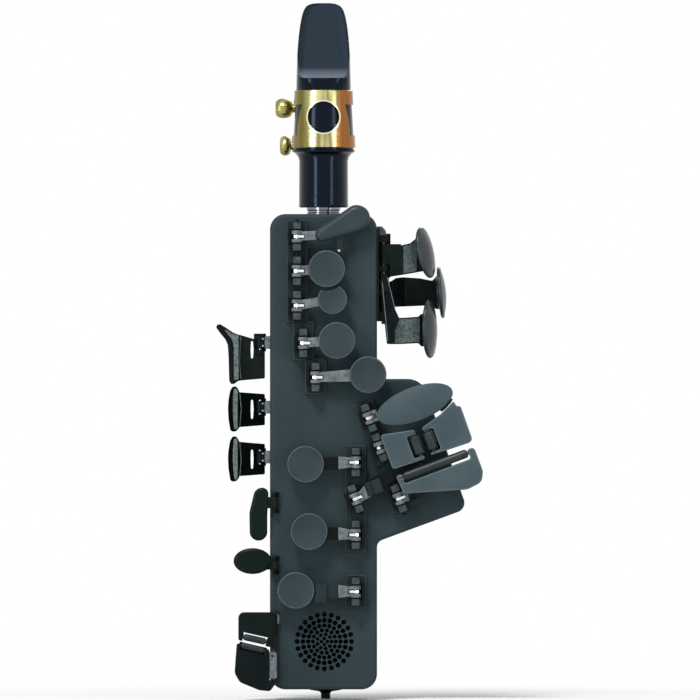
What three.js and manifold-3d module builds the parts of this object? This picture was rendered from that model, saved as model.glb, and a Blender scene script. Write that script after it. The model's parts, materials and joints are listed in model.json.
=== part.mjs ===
// Digital wind controller with saxophone keywork, in millimetres, +Z up with the mouthpiece on top.
// It is drawn in a panel frame: x to the right, y up the instrument, z out of the front face.
// One group turns that frame upright, and moves the origin to the eye of the strap ring on the back.
import * as THREE from "three";
import { mergeVertices } from "three/addons/utils/BufferGeometryUtils.js";
import Module from "manifold-3d";

const wasm = await Module();
wasm.setup();

const degree = Math.PI / 180;

// Driving sizes of the body
const bodyWidth = 48.2;
const bodyHeight = 214;
const bodyDepth = 34;
const bodyCornerRadius = 7;
const wall = 2.2;
const coverEdge = 1.6;
const wingDepth = 22;
const wingTopShare = 0.653;
const wingReachShare = 0.421;
const wingSideShare = 0.2888;
const wingSideLean = 19.1 * degree;
const wingFootLean = 20.2 * degree;
const wingCornerRadius = 4.4;
const wingTopRadius = 9;
const wingFilletRadius = 3.6;

// Clearances shared by all pieces
const gap = 0.3;
const seatGap = 0.05;
const overrun = 1;

// Driving sizes of the hinges and keys
const rodRadius = 0.8;
const boreClearance = 0.25;
const hubRadius = 2.4;
const hubLength = bodyHeight * 0.02477;
const postWidth = 4.3;
const postLength = bodyHeight * 0.01776;
const postRise = 1.9;
const rodHeight = 5.6;
const railThickness = 1.4;
const leverThickness = 2.4;
const leverWidth = 4.2;
const touchRadius = bodyHeight * 0.039;
const touchThickness = 3.2;
const touchEdge = 0.8;
const tableTilt = 20.5 * degree;

// Counts of facets
const roundSides = 20;
const smallSides = 10;
const hubSides = 14;
const arcSteps = 3;
const caseSteps = 6;

// Colours and finishes
const finishes = {
  charcoal: { color: 0x3a4648, roughness: 0.55, metalness: 0 },
  lever: { color: 0x5f6469, roughness: 0.45, metalness: 0 },
  ebonite: { color: 0x0c0f14, roughness: 0.12, metalness: 0 },
  gold: { color: 0xc9a44a, roughness: 0.2, metalness: 1 },
  steel: { color: 0xb9bcc0, roughness: 0.3, metalness: 1 },
  cane: { color: 0xd9c48b, roughness: 0.7, metalness: 0 },
  cork: { color: 0xb98a5a, roughness: 0.9, metalness: 0 },
  black: { color: 0x1b2122, roughness: 0.6, metalness: 0 },
  circuit: { color: 0x1f5a3a, roughness: 0.5, metalness: 0 },
  foil: { color: 0x8d9196, roughness: 0.4, metalness: 0.4 },
};

function material(finish) {
  return new THREE.MeshStandardMaterial(finishes[finish]);
}

// Solids from three.js geometry, and back again

function solidFrom(geometry) {
  const bare = geometry.index ? geometry.toNonIndexed() : geometry.clone();
  bare.deleteAttribute("normal");
  bare.deleteAttribute("uv");
  const merged = mergeVertices(bare);
  const corners = merged.index.array;
  const kept = [];
  for (let first = 0; first < corners.length; first += 3) {
    const [a, b, c] = corners.slice(first, first + 3);
    if (a !== b && b !== c && c !== a) kept.push(a, b, c);
  }
  const mesh = new wasm.Mesh({
    numProp: 3,
    vertProperties: new Float32Array(merged.attributes.position.array),
    triVerts: new Uint32Array(kept),
  });
  return new wasm.Manifold(mesh);
}

function join(...solids) {
  return solids.flat(2).reduce((sum, solid) => sum.add(solid));
}

function cut(solid, ...tools) {
  return tools.flat(2).reduce((rest, tool) => rest.subtract(tool), solid);
}

function piece(name, solid, finish) {
  const result = solid.getMesh();
  const geometry = new THREE.BufferGeometry();
  geometry.setAttribute("position", new THREE.BufferAttribute(result.vertProperties, 3));
  geometry.setIndex(new THREE.BufferAttribute(result.triVerts, 1));
  geometry.computeVertexNormals();
  const mesh = new THREE.Mesh(geometry, material(finish));
  mesh.name = name;
  return mesh;
}

function placed(object, x, y, z) {
  object.position.set(x, y, z);
  return object;
}

// Simple solids

const upright = new THREE.Matrix4();

function block(x0, x1, y0, y1, z0, z1, frame = upright) {
  const geometry = new THREE.BoxGeometry(x1 - x0, y1 - y0, z1 - z0);
  geometry.translate((x0 + x1) / 2, (y0 + y1) / 2, (z0 + z1) / 2);
  return solidFrom(geometry.applyMatrix4(frame));
}

function rodAlongY(radius, x, z, y0, y1, sides = smallSides, frame = upright) {
  const geometry = new THREE.CylinderGeometry(radius, radius, y1 - y0, sides);
  return solidFrom(geometry.translate(x, (y0 + y1) / 2, z).applyMatrix4(frame));
}

function rodAlongZ(radius, x, y, z0, z1, sides = smallSides) {
  const geometry = new THREE.CylinderGeometry(radius, radius, z1 - z0, sides);
  return solidFrom(geometry.rotateX(Math.PI / 2).translate(x, y, (z0 + z1) / 2));
}

function rodAlongX(radius, y, z, x0, x1, sides = smallSides) {
  const geometry = new THREE.CylinderGeometry(radius, radius, x1 - x0, sides);
  return solidFrom(geometry.rotateZ(Math.PI / 2).translate((x0 + x1) / 2, y, z));
}

// Outlines in the panel plane

function roundedOutline(corners, steps = arcSteps) {
  const shape = new THREE.Shape();
  corners.forEach(([x, y, radius], index) => {
    const before = corners[(index + corners.length - 1) % corners.length];
    const after = corners[(index + 1) % corners.length];
    const here = new THREE.Vector2(x, y);
    const back = new THREE.Vector2(before[0], before[1]).sub(here);
    const ahead = new THREE.Vector2(after[0], after[1]).sub(here);
    const half = Math.acos(back.dot(ahead) / (back.length() * ahead.length())) / 2;
    const room = Math.min(back.length(), ahead.length()) / 2;
    const setBack = Math.min(radius / Math.tan(half), room);
    const start = back.clone().setLength(setBack).add(here);
    const end = ahead.clone().setLength(setBack).add(here);
    if (index === 0) shape.moveTo(start.x, start.y);
    else shape.lineTo(start.x, start.y);
    if (setBack > 0) {
      for (let step = 1; step <= steps; step += 1) {
        const t = step / steps;
        const first = start.clone().lerp(here, t);
        const second = here.clone().lerp(end, t);
        const point = first.lerp(second, t);
        shape.lineTo(point.x, point.y);
      }
    }
  });
  shape.closePath();
  return shape;
}

function capsuleOutline(x0, y0, r0, x1, y1, r1) {
  const along = Math.atan2(y1 - y0, x1 - x0);
  const spread = Math.acos((r0 - r1) / Math.hypot(x1 - x0, y1 - y0));
  const shape = new THREE.Shape();
  shape.absarc(x1, y1, r1, along - spread, along + spread, false);
  shape.absarc(x0, y0, r0, along + spread, along - spread + 2 * Math.PI, false);
  shape.closePath();
  return shape;
}

function ellipseOutline(x, y, halfWidth, halfHeight) {
  const shape = new THREE.Shape();
  shape.absellipse(x, y, halfWidth, halfHeight, 0, 2 * Math.PI, false, 0);
  return shape;
}

function boxOutline(x0, x1, y0, y1, radius) {
  return roundedOutline([[x0, y0, radius], [x1, y0, radius], [x1, y1, radius], [x0, y1, radius]]);
}

// A plate of an outline, from z0 to z1, with both rims rounded by the edge where one is given
function slab(shape, z0, z1, edge = 0, curveSegments = 5, edgeSteps = 1) {
  const geometry = new THREE.ExtrudeGeometry(shape, {
    depth: z1 - z0 - 2 * edge,
    bevelEnabled: edge > 0,
    bevelThickness: edge,
    bevelSize: edge,
    bevelOffset: -edge,
    bevelSegments: edgeSteps,
    curveSegments,
    steps: 1,
  });
  return solidFrom(geometry.translate(0, 0, z0 + edge));
}

// A bent strap of even thickness: the path lies in x and z, and the strap is wide along y
function strap(path, thickness, y0, y1) {
  const points = path.map(([x, z]) => new THREE.Vector2(x, z));
  const sides = [[], []];
  points.forEach((point, index) => {
    const before = points[Math.max(index - 1, 0)];
    const after = points[Math.min(index + 1, points.length - 1)];
    const incoming = index > 0 ? point.clone().sub(before).normalize() : null;
    const outgoing = index < points.length - 1 ? after.clone().sub(point).normalize() : null;
    const heading = (incoming ?? outgoing).clone().add(outgoing ?? incoming).normalize();
    const normal = new THREE.Vector2(-heading.y, heading.x);
    const mitre = thickness / 2 / Math.max(heading.dot(incoming ?? outgoing), 1 / 2);
    sides[0].push(point.clone().addScaledVector(normal, -mitre));
    sides[1].unshift(point.clone().addScaledVector(normal, mitre));
  });
  const shape = new THREE.Shape([...sides[0], ...sides[1]]);
  const geometry = new THREE.ExtrudeGeometry(shape, { depth: y1 - y0, bevelEnabled: false });
  return solidFrom(geometry.rotateX(Math.PI / 2).translate(0, y1, 0));
}

// A closed solid of revolution about y, whose profile starts and ends on the axis
function turned(profile, sides = roundSides) {
  const points = profile.map(([radius, height]) => new THREE.Vector2(radius, height));
  return solidFrom(new THREE.LatheGeometry(points, sides));
}

// A round touch with a softened rim and a slightly raised middle, facing z
function touchDisc(x, y, z0, radius, thickness = touchThickness, sides = roundSides) {
  const crownShare = 0.12;
  const profile = [
    [0, 0],
    [radius - touchEdge, 0],
    [radius, touchEdge],
    [radius, thickness - touchEdge],
    [radius - touchEdge, thickness],
    [0, thickness * (1 + crownShare)],
  ];
  const points = profile.map(([r, h]) => new THREE.Vector2(r, h));
  const geometry = new THREE.LatheGeometry(points, sides);
  return solidFrom(geometry.rotateX(Math.PI / 2).translate(x, y, z0));
}

// Outline of the case: a tall body with a wing on its right side

const bodySide = bodyWidth / 2;
const face = bodyDepth / 2;
const wingTop = bodyHeight * wingTopShare;
const wingSide = bodyHeight * wingSideShare;
const wingShoulder = bodySide + bodyWidth * wingReachShare;
const wingTip = wingShoulder + wingSide * Math.sin(wingSideLean);
const wingTipHeight = wingTop - wingSide * Math.cos(wingSideLean);
const wingFoot = wingTipHeight - (wingTip - bodySide) * Math.tan(wingFootLean);

const bodyCorners = [
  [-bodySide, 0, bodyCornerRadius],
  [bodySide, 0, bodyCornerRadius],
  [bodySide, bodyHeight, bodyCornerRadius],
  [-bodySide, bodyHeight, bodyCornerRadius],
];
const caseCorners = [
  bodyCorners[0],
  bodyCorners[1],
  [bodySide, wingFoot, wingFilletRadius],
  [wingTip, wingTipHeight, wingCornerRadius],
  [wingShoulder, wingTop, wingTopRadius],
  [bodySide, wingTop, wingFilletRadius / 2],
  bodyCorners[2],
  bodyCorners[3],
];

// The same outline with each edge moved inwards
function insetCorners(corners, distance) {
  return corners.map(([x, y, radius], index) => {
    const before = corners[(index + corners.length - 1) % corners.length];
    const after = corners[(index + 1) % corners.length];
    const here = new THREE.Vector2(x, y);
    const incoming = here.clone().sub(new THREE.Vector2(before[0], before[1])).normalize();
    const outgoing = new THREE.Vector2(after[0], after[1]).sub(here).normalize();
    const normals = new THREE.Vector2(-incoming.y, incoming.x).add(new THREE.Vector2(-outgoing.y, outgoing.x));
    const turn = incoming.cross(outgoing);
    const point = here.addScaledVector(normals, distance / (1 + incoming.dot(outgoing)));
    return [point.x, point.y, Math.max(radius - Math.sign(turn) * distance, seatGap)];
  });
}

// Places of the fittings that pierce the case

const neck = { radius: 7.6, bore: 4, show: 3, flangeRadius: 10, flangeThickness: 2 };
const drainCentre = bodyWidth * 0.019;
const drain = {
  flangeRadius: 7.5,
  flangeThickness: 0.9,
  taper: 0.5,
  coneRadius: 2.9,
  stemRadius: 2.1,
  stemLength: 3.1,
  bore: 0.9,
  insideRadius: 3.4,
  insideLength: 8,
  nippleRadius: bodyDepth * 0.0615,
  nippleLength: 4,
};
const usb = { width: 9, height: 3.4, depth: 8, lip: 0.35, centreShare: -0.25, setBackShare: 0.22, flange: 0.8 };
const button = { radius: 3, flangeRadius: 4.2, flangeThickness: 1, proud: 0.9, heightShare: 0.16, sideShare: 0.27 };
const speaker = { heightShare: 0.1008, sideShare: 0.008 };
const speakerX = bodyWidth * speaker.sideShare;
const speakerY = bodyHeight * speaker.heightShare;
const grilleRadius = bodyWidth * 0.2552;
const grilleHoleRadius = 1;
const grilleHoleSides = 5;
const grilleRings = [
  { radiusShare: 1, holes: 24, holeShare: 1 },
  { radiusShare: 0.785, holes: 24, holeShare: 0.9 },
  { radiusShare: 0.591, holes: 20, holeShare: 0.7 },
  { radiusShare: 0.42, holes: 14, holeShare: 0.63 },
  { radiusShare: 0.263, holes: 9, holeShare: 0.58 },
  { radiusShare: 0.11, holes: 4, holeShare: 0.54 },
];

function grilleHoles() {
  return grilleRings.flatMap(({ radiusShare, holes, holeShare }) =>
    Array.from({ length: holes }, (_, index) => {
      const angle = (index / holes) * 2 * Math.PI;
      const x = speakerX + grilleRadius * radiusShare * Math.cos(angle);
      const y = speakerY + grilleRadius * radiusShare * Math.sin(angle);
      const front = face + overrun;
      const back = face - wall - overrun;
      return rodAlongZ(grilleHoleRadius * holeShare, x, y, back, front, grilleHoleSides);
    }),
  );
}

// Side keys and trill touches are carried by a frame inside the left wall, whose tabs reach out through it
const sideKeyHeightShares = [0.7298, 0.5937, 0.4886];
const sidePivot = { reach: 4.5, setBack: 6 };
const sideSpan = bodyHeight * 0.0673;
const keyFrame = {
  thickness: 1.8,
  depth: 10,
  tabHalf: sideSpan * 0.2014,
  tabThickness: 4.4,
  knuckleRadius: 1.8,
  pinReach: sideSpan * 0.368,
};
const sidePivotX = -bodySide - sidePivot.reach;
const sidePivotZ = face - sidePivot.setBack;
const trillPivot = {
  inset: 2.1,
  height: 2.1,
  hubRadius: 1.4,
  stemWidth: 1.5,
  earReach: 1.3,
  postThickness: 1.5,
  postTop: 3.4,
};
const trillPivotX = -bodySide + trillPivot.inset;
const trillKeys = [
  { name: "fork_f_sharp_key", hubShare: 0.393, hubLength: bodyHeight * 0.0243 },
  { name: "high_f_sharp_key", hubShare: 0.2616, hubLength: bodyHeight * 0.0196 },
];

const trillStem = [-bodySide + wall + gap, -bodySide + wall + gap + trillPivot.stemWidth];

function trillPosts({ hubShare, hubLength: length }) {
  const centre = bodyHeight * hubShare;
  const near = length / 2 + gap;
  return [
    [centre - near - trillPivot.postThickness, centre - near],
    [centre + near, centre + near + trillPivot.postThickness],
  ];
}

function keyFrameSlots() {
  const inside = -bodySide + wall + overrun;
  const tabs = sideKeyHeightShares.map((share) => {
    const centre = bodyHeight * share;
    const reach = keyFrame.tabHalf + gap;
    const depth = keyFrame.tabThickness / 2 + gap;
    return block(-bodySide - overrun, inside, centre - reach, centre + reach, sidePivotZ - depth, sidePivotZ + depth);
  });
  const posts = trillKeys.flatMap(trillPosts).map(([y0, y1]) =>
    block(
      trillStem[0] - gap, trillStem[1] + gap, y0 - gap, y1 + gap, face - wall - overrun, face + overrun,
    ),
  );
  return [...tabs, ...posts];
}

// Openings through the walls that both covers share
function endOpenings() {
  return [
    rodAlongY(neck.radius + gap, 0, 0, bodyHeight - wall - overrun, bodyHeight + overrun, roundSides),
    rodAlongY(drain.insideRadius + gap, drainCentre, 0, -overrun, wall + overrun, roundSides),
  ];
}

function frontCover() {
  const shell = slab(roundedOutline(caseCorners, caseSteps), -2 * coverEdge, face, coverEdge);
  const hollow = slab(roundedOutline(insetCorners(caseCorners, wall)), -bodyDepth, face - wall);
  const behind = block(-bodyWidth, 2 * bodyWidth, -bodyHeight, 2 * bodyHeight, -bodyDepth, 0);
  return piece("front_cover", cut(shell, hollow, behind, grilleHoles(), keyFrameSlots(), endOpenings()), "charcoal");
}

const usbX = bodyWidth * usb.centreShare;
const usbZ = -bodyDepth * usb.setBackShare;
const buttonX = bodyWidth * button.sideShare;
const buttonY = bodyHeight * button.heightShare;

function usbSocket() {
  const halfWidth = usb.width / 2;
  const halfHeight = usb.height / 2;
  const around = boxOutline(-halfWidth, halfWidth, -halfHeight, halfHeight, halfHeight);
  const within = boxOutline(
    -halfWidth + usb.lip, halfWidth - usb.lip, -halfHeight + usb.lip, halfHeight - usb.lip, halfHeight - usb.lip,
  );
  const tube = slab(around, 0, usb.depth);
  const mouth = slab(within, -overrun, usb.depth - usb.lip);
  const back = block(
    -halfWidth - usb.flange, halfWidth + usb.flange, -halfHeight - usb.flange, halfHeight + usb.flange,
    wall + gap, usb.depth,
  );
  const mesh = piece("usb_socket", cut(join(tube, back), mouth), "steel");
  mesh.rotation.x = -Math.PI / 2;
  return placed(mesh, usbX, 0, usbZ);
}

function backCover() {
  const body = slab(roundedOutline(bodyCorners, caseSteps), -face, 2 * coverEdge, coverEdge);
  const wing = slab(roundedOutline(caseCorners, caseSteps), face - wingDepth, 2 * coverEdge, coverEdge);
  const bodyHollow = slab(roundedOutline(insetCorners(bodyCorners, wall)), -face + wall, bodyDepth);
  const wingHollow = slab(roundedOutline(insetCorners(caseCorners, wall)), face - wingDepth + wall, bodyDepth);
  const ahead = block(-bodyWidth, 2 * bodyWidth, -bodyHeight, 2 * bodyHeight, 0, bodyDepth);
  const halfUsb = usb.width / 2 + gap;
  const usbDepth = usb.height / 2 + gap;
  const usbHole = block(usbX - halfUsb, usbX + halfUsb, -overrun, wall + overrun, usbZ - usbDepth, usbZ + usbDepth);
  const buttonHole = rodAlongZ(button.radius + gap, buttonX, buttonY, -face - overrun, -face + wall + overrun, roundSides);
  const shell = cut(join(body, wing), bodyHollow, wingHollow, ahead, usbHole, buttonHole, endOpenings());
  return piece("back_cover", shell, "charcoal");
}

function powerButton() {
  const flangeBack = -face + wall + gap;
  const cap = rodAlongZ(button.radius, 0, 0, -face - button.proud, flangeBack + button.flangeThickness, roundSides);
  const flange = rodAlongZ(button.flangeRadius, 0, 0, flangeBack, flangeBack + button.flangeThickness, roundSides);
  return placed(piece("power_button", join(cap, flange), "lever"), buttonX, buttonY, 0);
}

function leftKeyFrame() {
  const wallInside = -bodySide + wall + gap;
  const stripFront = face - wall - gap;
  const stripBack = stripFront - keyFrame.depth;
  const foot = trillPosts(trillKeys[1])[0][0];
  const head = bodyHeight * sideKeyHeightShares[0] + keyFrame.tabHalf;
  const strip = block(wallInside, wallInside + keyFrame.thickness, foot, head, stripBack, stripFront);
  const tabs = sideKeyHeightShares.map((share) => {
    const centre = bodyHeight * share;
    const halfTab = keyFrame.tabThickness / 2;
    const y0 = centre - keyFrame.tabHalf;
    const y1 = centre + keyFrame.tabHalf;
    return join(
      block(sidePivotX, wallInside + seatGap, y0, y1, sidePivotZ - halfTab, sidePivotZ + halfTab),
      rodAlongY(keyFrame.knuckleRadius, sidePivotX, sidePivotZ, y0, y1),
      rodAlongY(rodRadius, sidePivotX, sidePivotZ, centre - keyFrame.pinReach, centre + keyFrame.pinReach),
    );
  });
  const hinges = trillKeys.map((key) => {
    const posts = trillPosts(key);
    const pin = rodAlongY(rodRadius, trillPivotX, face + trillPivot.height, posts[0][0], posts[1][1]);
    const top = face + trillPivot.postTop;
    const uprights = posts.map(([y0, y1]) => [
      block(...trillStem, y0, y1, stripFront - keyFrame.depth / 2, top),
      block(trillPivotX - trillPivot.earReach, trillStem[1], y0, y1, face + gap, top),
    ]);
    return join(pin, uprights.flat());
  });
  return piece("left_key_frame", join(strip, tabs, hinges), "lever");
}

// Mouthpiece, reed and ligature

const mouthpieceLength = 92.4;
const mouthpieceBottom = bodyHeight + neck.show;
const flareRadius = 14.15;
const shankBore = { radius: 7.95, depth: 24 };
const chamber = { radius: 6, topShare: 0.72 };
const tableDepth = 9.8;
const windowSize = { halfWidth: 5.4, bottomShare: 0.68, topShare: 0.965 };
const beakStartShare = 0.628;
const tipThickness = 1;
const tipOpening = 1.3;
const bandLow = { heightShare: 0.2835, widthShare: 0.962 };
const bandHigh = { heightShare: 0.575, widthShare: 0.868 };
const beakWidthShare = 0.861;
const mouthpieceStationShares = [
  { height: 0, width: 0.75, square: 2 },
  { height: 0.006, width: 0.777, square: 2 },
  { height: 0.234, width: 0.777, square: 2 },
  { height: 0.247, width: 0.81, square: 2 },
  { height: 0.262, width: 0.885, square: 2 },
  { height: 0.273, width: 1, square: 2 },
  { height: 0.281, width: 0.992, square: 2 },
  { height: bandLow.heightShare, width: bandLow.widthShare, square: 2 },
  { height: 0.424, width: 0.92, square: 2 },
  { height: bandHigh.heightShare, width: bandHigh.widthShare, square: 2 },
  { height: beakStartShare, width: beakWidthShare, square: 2.1 },
  { height: 0.745, width: 0.844, square: 2.8 },
  { height: 0.833, width: 0.799, square: 3.8 },
  { height: 0.891, width: 0.75, square: 5 },
  { height: 0.949, width: 0.665, square: 7 },
  { height: 0.985, width: 0.6, square: 7 },
  { height: 1, width: 0.42, square: 8 },
];
const tableStartShare = 0.29;
const facingStartShare = 0.76;

function loft(rings) {
  const count = rings[0].length;
  const positions = [];
  const triangle = (a, b, c) => positions.push(...a, ...b, ...c);
  rings.slice(1).forEach((ring, level) => {
    const below = rings[level];
    for (let index = 0; index < count; index += 1) {
      const next = (index + 1) % count;
      triangle(below[index], ring[next], below[next]);
      triangle(below[index], ring[index], ring[next]);
    }
  });
  const last = rings[rings.length - 1];
  for (let index = 1; index < count - 1; index += 1) {
    triangle(rings[0][0], rings[0][index], rings[0][index + 1]);
    triangle(last[0], last[index + 1], last[index]);
  }
  const geometry = new THREE.BufferGeometry();
  geometry.setAttribute("position", new THREE.Float32BufferAttribute(positions, 3));
  return solidFrom(geometry);
}

function mouthpieceRing({ height, width, square }) {
  const y = mouthpieceLength * height;
  const radius = flareRadius * width;
  const depth = Math.max(radius, height > beakStartShare ? flareRadius : 0);
  const beak = Math.max((height - beakStartShare) / (1 - beakStartShare), 0);
  const facing = Math.max((height - facingStartShare) / (1 - facingStartShare), 0) ** 2;
  const back = height > tableStartShare - overrun / mouthpieceLength ? -tableDepth + tipOpening * facing : -depth;
  const frontAtBeak = flareRadius * beakWidthShare;
  const front = frontAtBeak + (-tableDepth + tipOpening + tipThickness - frontAtBeak) * beak;
  return Array.from({ length: roundSides }, (_, index) => {
    const angle = (index / roundSides) * 2 * Math.PI;
    const across = Math.sign(Math.cos(angle)) * Math.abs(Math.cos(angle)) ** (2 / square);
    const deep = Math.sign(Math.sin(angle)) * Math.abs(Math.sin(angle)) ** (2 / square);
    const z = THREE.MathUtils.clamp(depth * deep, back, height > beakStartShare ? front : depth);
    return [radius * across, y, z];
  });
}

function mouthpiece() {
  const outer = loft(mouthpieceStationShares.map(mouthpieceRing));
  const chamberTop = mouthpieceLength * chamber.topShare;
  const shank = rodAlongY(shankBore.radius, 0, 0, -overrun, shankBore.depth, roundSides);
  const inside = rodAlongY(chamber.radius, 0, 0, shankBore.depth - overrun, chamberTop, roundSides);
  const window = block(
    -windowSize.halfWidth, windowSize.halfWidth,
    mouthpieceLength * windowSize.bottomShare, mouthpieceLength * windowSize.topShare,
    -tableDepth - overrun, -tableDepth + tipOpening + tipThickness * 2,
  );
  const throat = block(
    -windowSize.halfWidth, windowSize.halfWidth,
    mouthpieceLength * windowSize.bottomShare, chamberTop,
    -tableDepth - overrun, 0,
  );
  const mesh = piece("mouthpiece", cut(outer, shank, inside, window, throat), "ebonite");
  return placed(mesh, 0, mouthpieceBottom, 0);
}

const reedSize = { startShare: 0.295, endShare: 0.985, halfWidth: 7.7, thickness: 2.9, tip: 0.5, vampShare: 0.6 };

// The turned envelope of the mouthpiece where the reed and the ligature sit, grown by a clearance
function mouthpieceEnvelope(growth, y0, y1) {
  const lowRadius = flareRadius * bandLow.widthShare + growth;
  const highRadius = flareRadius * bandHigh.widthShare + growth;
  const low = mouthpieceLength * bandLow.heightShare;
  const high = mouthpieceLength * bandHigh.heightShare;
  const slope = (highRadius - lowRadius) / (high - low);
  const at = (y) => lowRadius + slope * (y - low);
  return turned([[0, y0], [at(y0), y0], [at(y1), y1], [0, y1]]);
}

function reed() {
  const start = mouthpieceLength * reedSize.startShare;
  const end = mouthpieceLength * reedSize.endShare;
  const vamp = mouthpieceLength * reedSize.vampShare;
  const flat = -tableDepth - seatGap;
  const side = new THREE.Shape([
    new THREE.Vector2(start, flat),
    new THREE.Vector2(start, flat - reedSize.thickness),
    new THREE.Vector2(vamp, flat - reedSize.thickness),
    new THREE.Vector2(end, flat - reedSize.tip),
    new THREE.Vector2(end, flat),
  ]);
  const geometry = new THREE.ExtrudeGeometry(side, { depth: 2 * reedSize.halfWidth, bevelEnabled: false });
  geometry.rotateX(Math.PI / 2).rotateZ(Math.PI / 2).translate(-reedSize.halfWidth, 0, 0);
  const bar = solidFrom(geometry);
  const butt = mouthpieceEnvelope(-seatGap, start - overrun, vamp);
  const blade = block(-bodyWidth, bodyWidth, vamp - overrun, mouthpieceLength, -bodyDepth, 0);
  return placed(piece("reed", bar.intersect(join(butt, blade)), "cane"), 0, mouthpieceBottom, 0);
}

const ligature = {
  bottomShare: 0.292,
  topShare: 0.572,
  thickness: 0.7,
  clearance: 0.15,
  windowBottomShare: 0.352,
  windowTopShare: 0.502,
  plateTop: 9.7,
  plateBulge: 11.9,
  holeRadius: 7.1,
  holeShare: 0.44,
  splitHalf: 3.4,
  lugRadius: 2.3,
  lugOuter: 12.6,
  lugFar: 10.6,
  lugInner: 4.4,
  screwSetBack: 2.2,
};
const ligatureScrewShares = { lower: 0.304, upper: 0.487 };
const screwSize = { shaft: 1.2, head: 4.5, neck: 2, edge: 1.3, tail: 1.4 };
const screwHeads = { lower: { neckLength: 2.2, length: 5 }, upper: { neckLength: 1.5, length: 7.7 } };
const ligatureScrewZ = -flareRadius * bandHigh.widthShare - ligature.screwSetBack;

function ligatureBand() {
  const y0 = mouthpieceLength * ligature.bottomShare;
  const y1 = mouthpieceLength * ligature.topShare;
  const outer = mouthpieceEnvelope(ligature.clearance + ligature.thickness, y0, y1);
  const inner = mouthpieceEnvelope(ligature.clearance, y0 - overrun, y1 + overrun);
  const lugs = Object.values(ligatureScrewShares).map((share) => {
    const y = mouthpieceLength * share;
    const radius = ligature.lugRadius;
    return join(
      rodAlongX(radius, y, ligatureScrewZ, -ligature.lugOuter, -ligature.lugInner),
      rodAlongX(radius, y, ligatureScrewZ, ligature.lugInner, ligature.lugFar),
    );
  });
  const bores = Object.values(ligatureScrewShares).map((share) => {
    const y = mouthpieceLength * share;
    return rodAlongX(screwSize.shaft + boreClearance, y, ligatureScrewZ, -bodyWidth, bodyWidth);
  });
  const low = mouthpieceLength * ligature.windowBottomShare;
  const high = mouthpieceLength * ligature.windowTopShare;
  const windows = [-1, 1].map((side) => {
    const shape = new THREE.Shape();
    shape.moveTo(side * bodyWidth, low);
    shape.lineTo(side * bodyWidth, high);
    shape.lineTo(side * ligature.plateTop, high);
    shape.quadraticCurveTo(side * ligature.plateBulge, (low + high) / 2, side * ligature.plateBulge, low);
    shape.closePath();
    return slab(shape, -ligature.lugInner, bodyDepth);
  });
  const split = block(-ligature.splitHalf, ligature.splitHalf, y0 - overrun, y1 + overrun, -bodyDepth, -tableDepth);
  const hole = rodAlongZ(ligature.holeRadius, 0, mouthpieceLength * ligature.holeShare, 0, bodyDepth, roundSides);
  const band = cut(join(outer, lugs), inner, bores, windows, split, hole);
  return placed(piece("ligature", band, "gold"), 0, mouthpieceBottom, 0);
}

function ligatureScrew(place) {
  const { shaft, head, neck: collar, edge, tail } = screwSize;
  const { neckLength, length } = screwHeads[place];
  const far = ligature.lugFar + tail + ligature.lugOuter;
  const profile = [
    [0, -far],
    [shaft, -far],
    [shaft, gap],
    [collar, gap],
    [collar, neckLength],
    [head - edge, neckLength],
    [head, neckLength + edge],
    [head, neckLength + length - edge],
    [head - edge, neckLength + length],
    [0, neckLength + length],
  ];
  const mesh = piece(`ligature_screw_${place}`, turned(profile), "gold");
  mesh.rotation.z = Math.PI / 2;
  return placed(mesh, -ligature.lugOuter, mouthpieceBottom + mouthpieceLength * ligatureScrewShares[place], ligatureScrewZ);
}

const cork = { thickness: 0.75, length: 17, startRise: 3.6 };

function neckTenon() {
  const inside = neck.radius - cork.thickness;
  const top = neck.show + cork.startRise + cork.length;
  const profile = [
    [neck.bore, -wall - neck.flangeThickness],
    [neck.flangeRadius, -wall - neck.flangeThickness],
    [neck.flangeRadius, -wall - seatGap],
    [neck.radius, -wall - seatGap],
    [neck.radius, neck.show + cork.startRise],
    [inside, neck.show + cork.startRise],
    [inside, top],
    [neck.bore, top],
    [neck.bore, -wall - neck.flangeThickness],
  ];
  return placed(piece("neck_tenon", turned(profile), "ebonite"), 0, bodyHeight, 0);
}

function tenonCork() {
  const start = neck.show + cork.startRise + seatGap;
  const inside = neck.radius - cork.thickness + seatGap;
  const outside = shankBore.radius - seatGap;
  const profile = [
    [inside, start],
    [outside, start],
    [outside, start + cork.length],
    [inside, start + cork.length],
    [inside, start],
  ];
  return placed(piece("tenon_cork", turned(profile), "cork"), 0, bodyHeight, 0);
}

// Fittings at the foot and inside the case

function drainSpout() {
  const rim = -drain.flangeThickness;
  const cone = rim - drain.taper;
  const profile = [
    [drain.bore, cone - drain.stemLength],
    [drain.stemRadius, cone - drain.stemLength],
    [drain.stemRadius, cone],
    [drain.coneRadius, cone],
    [drain.flangeRadius, rim],
    [drain.flangeRadius, -seatGap],
    [drain.insideRadius, -seatGap],
    [drain.insideRadius, drain.insideLength - drain.nippleLength],
    [drain.nippleRadius, drain.insideLength - drain.nippleLength],
    [drain.nippleRadius, drain.insideLength],
    [drain.bore, drain.insideLength],
    [drain.bore, cone - drain.stemLength],
  ];
  return placed(piece("drain_spout", turned(profile), "black"), drainCentre, 0, 0);
}

const tube = { radius: bodyDepth * 0.1, bore: bodyDepth * 0.0735, sides: 8, steps: 8 };

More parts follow.
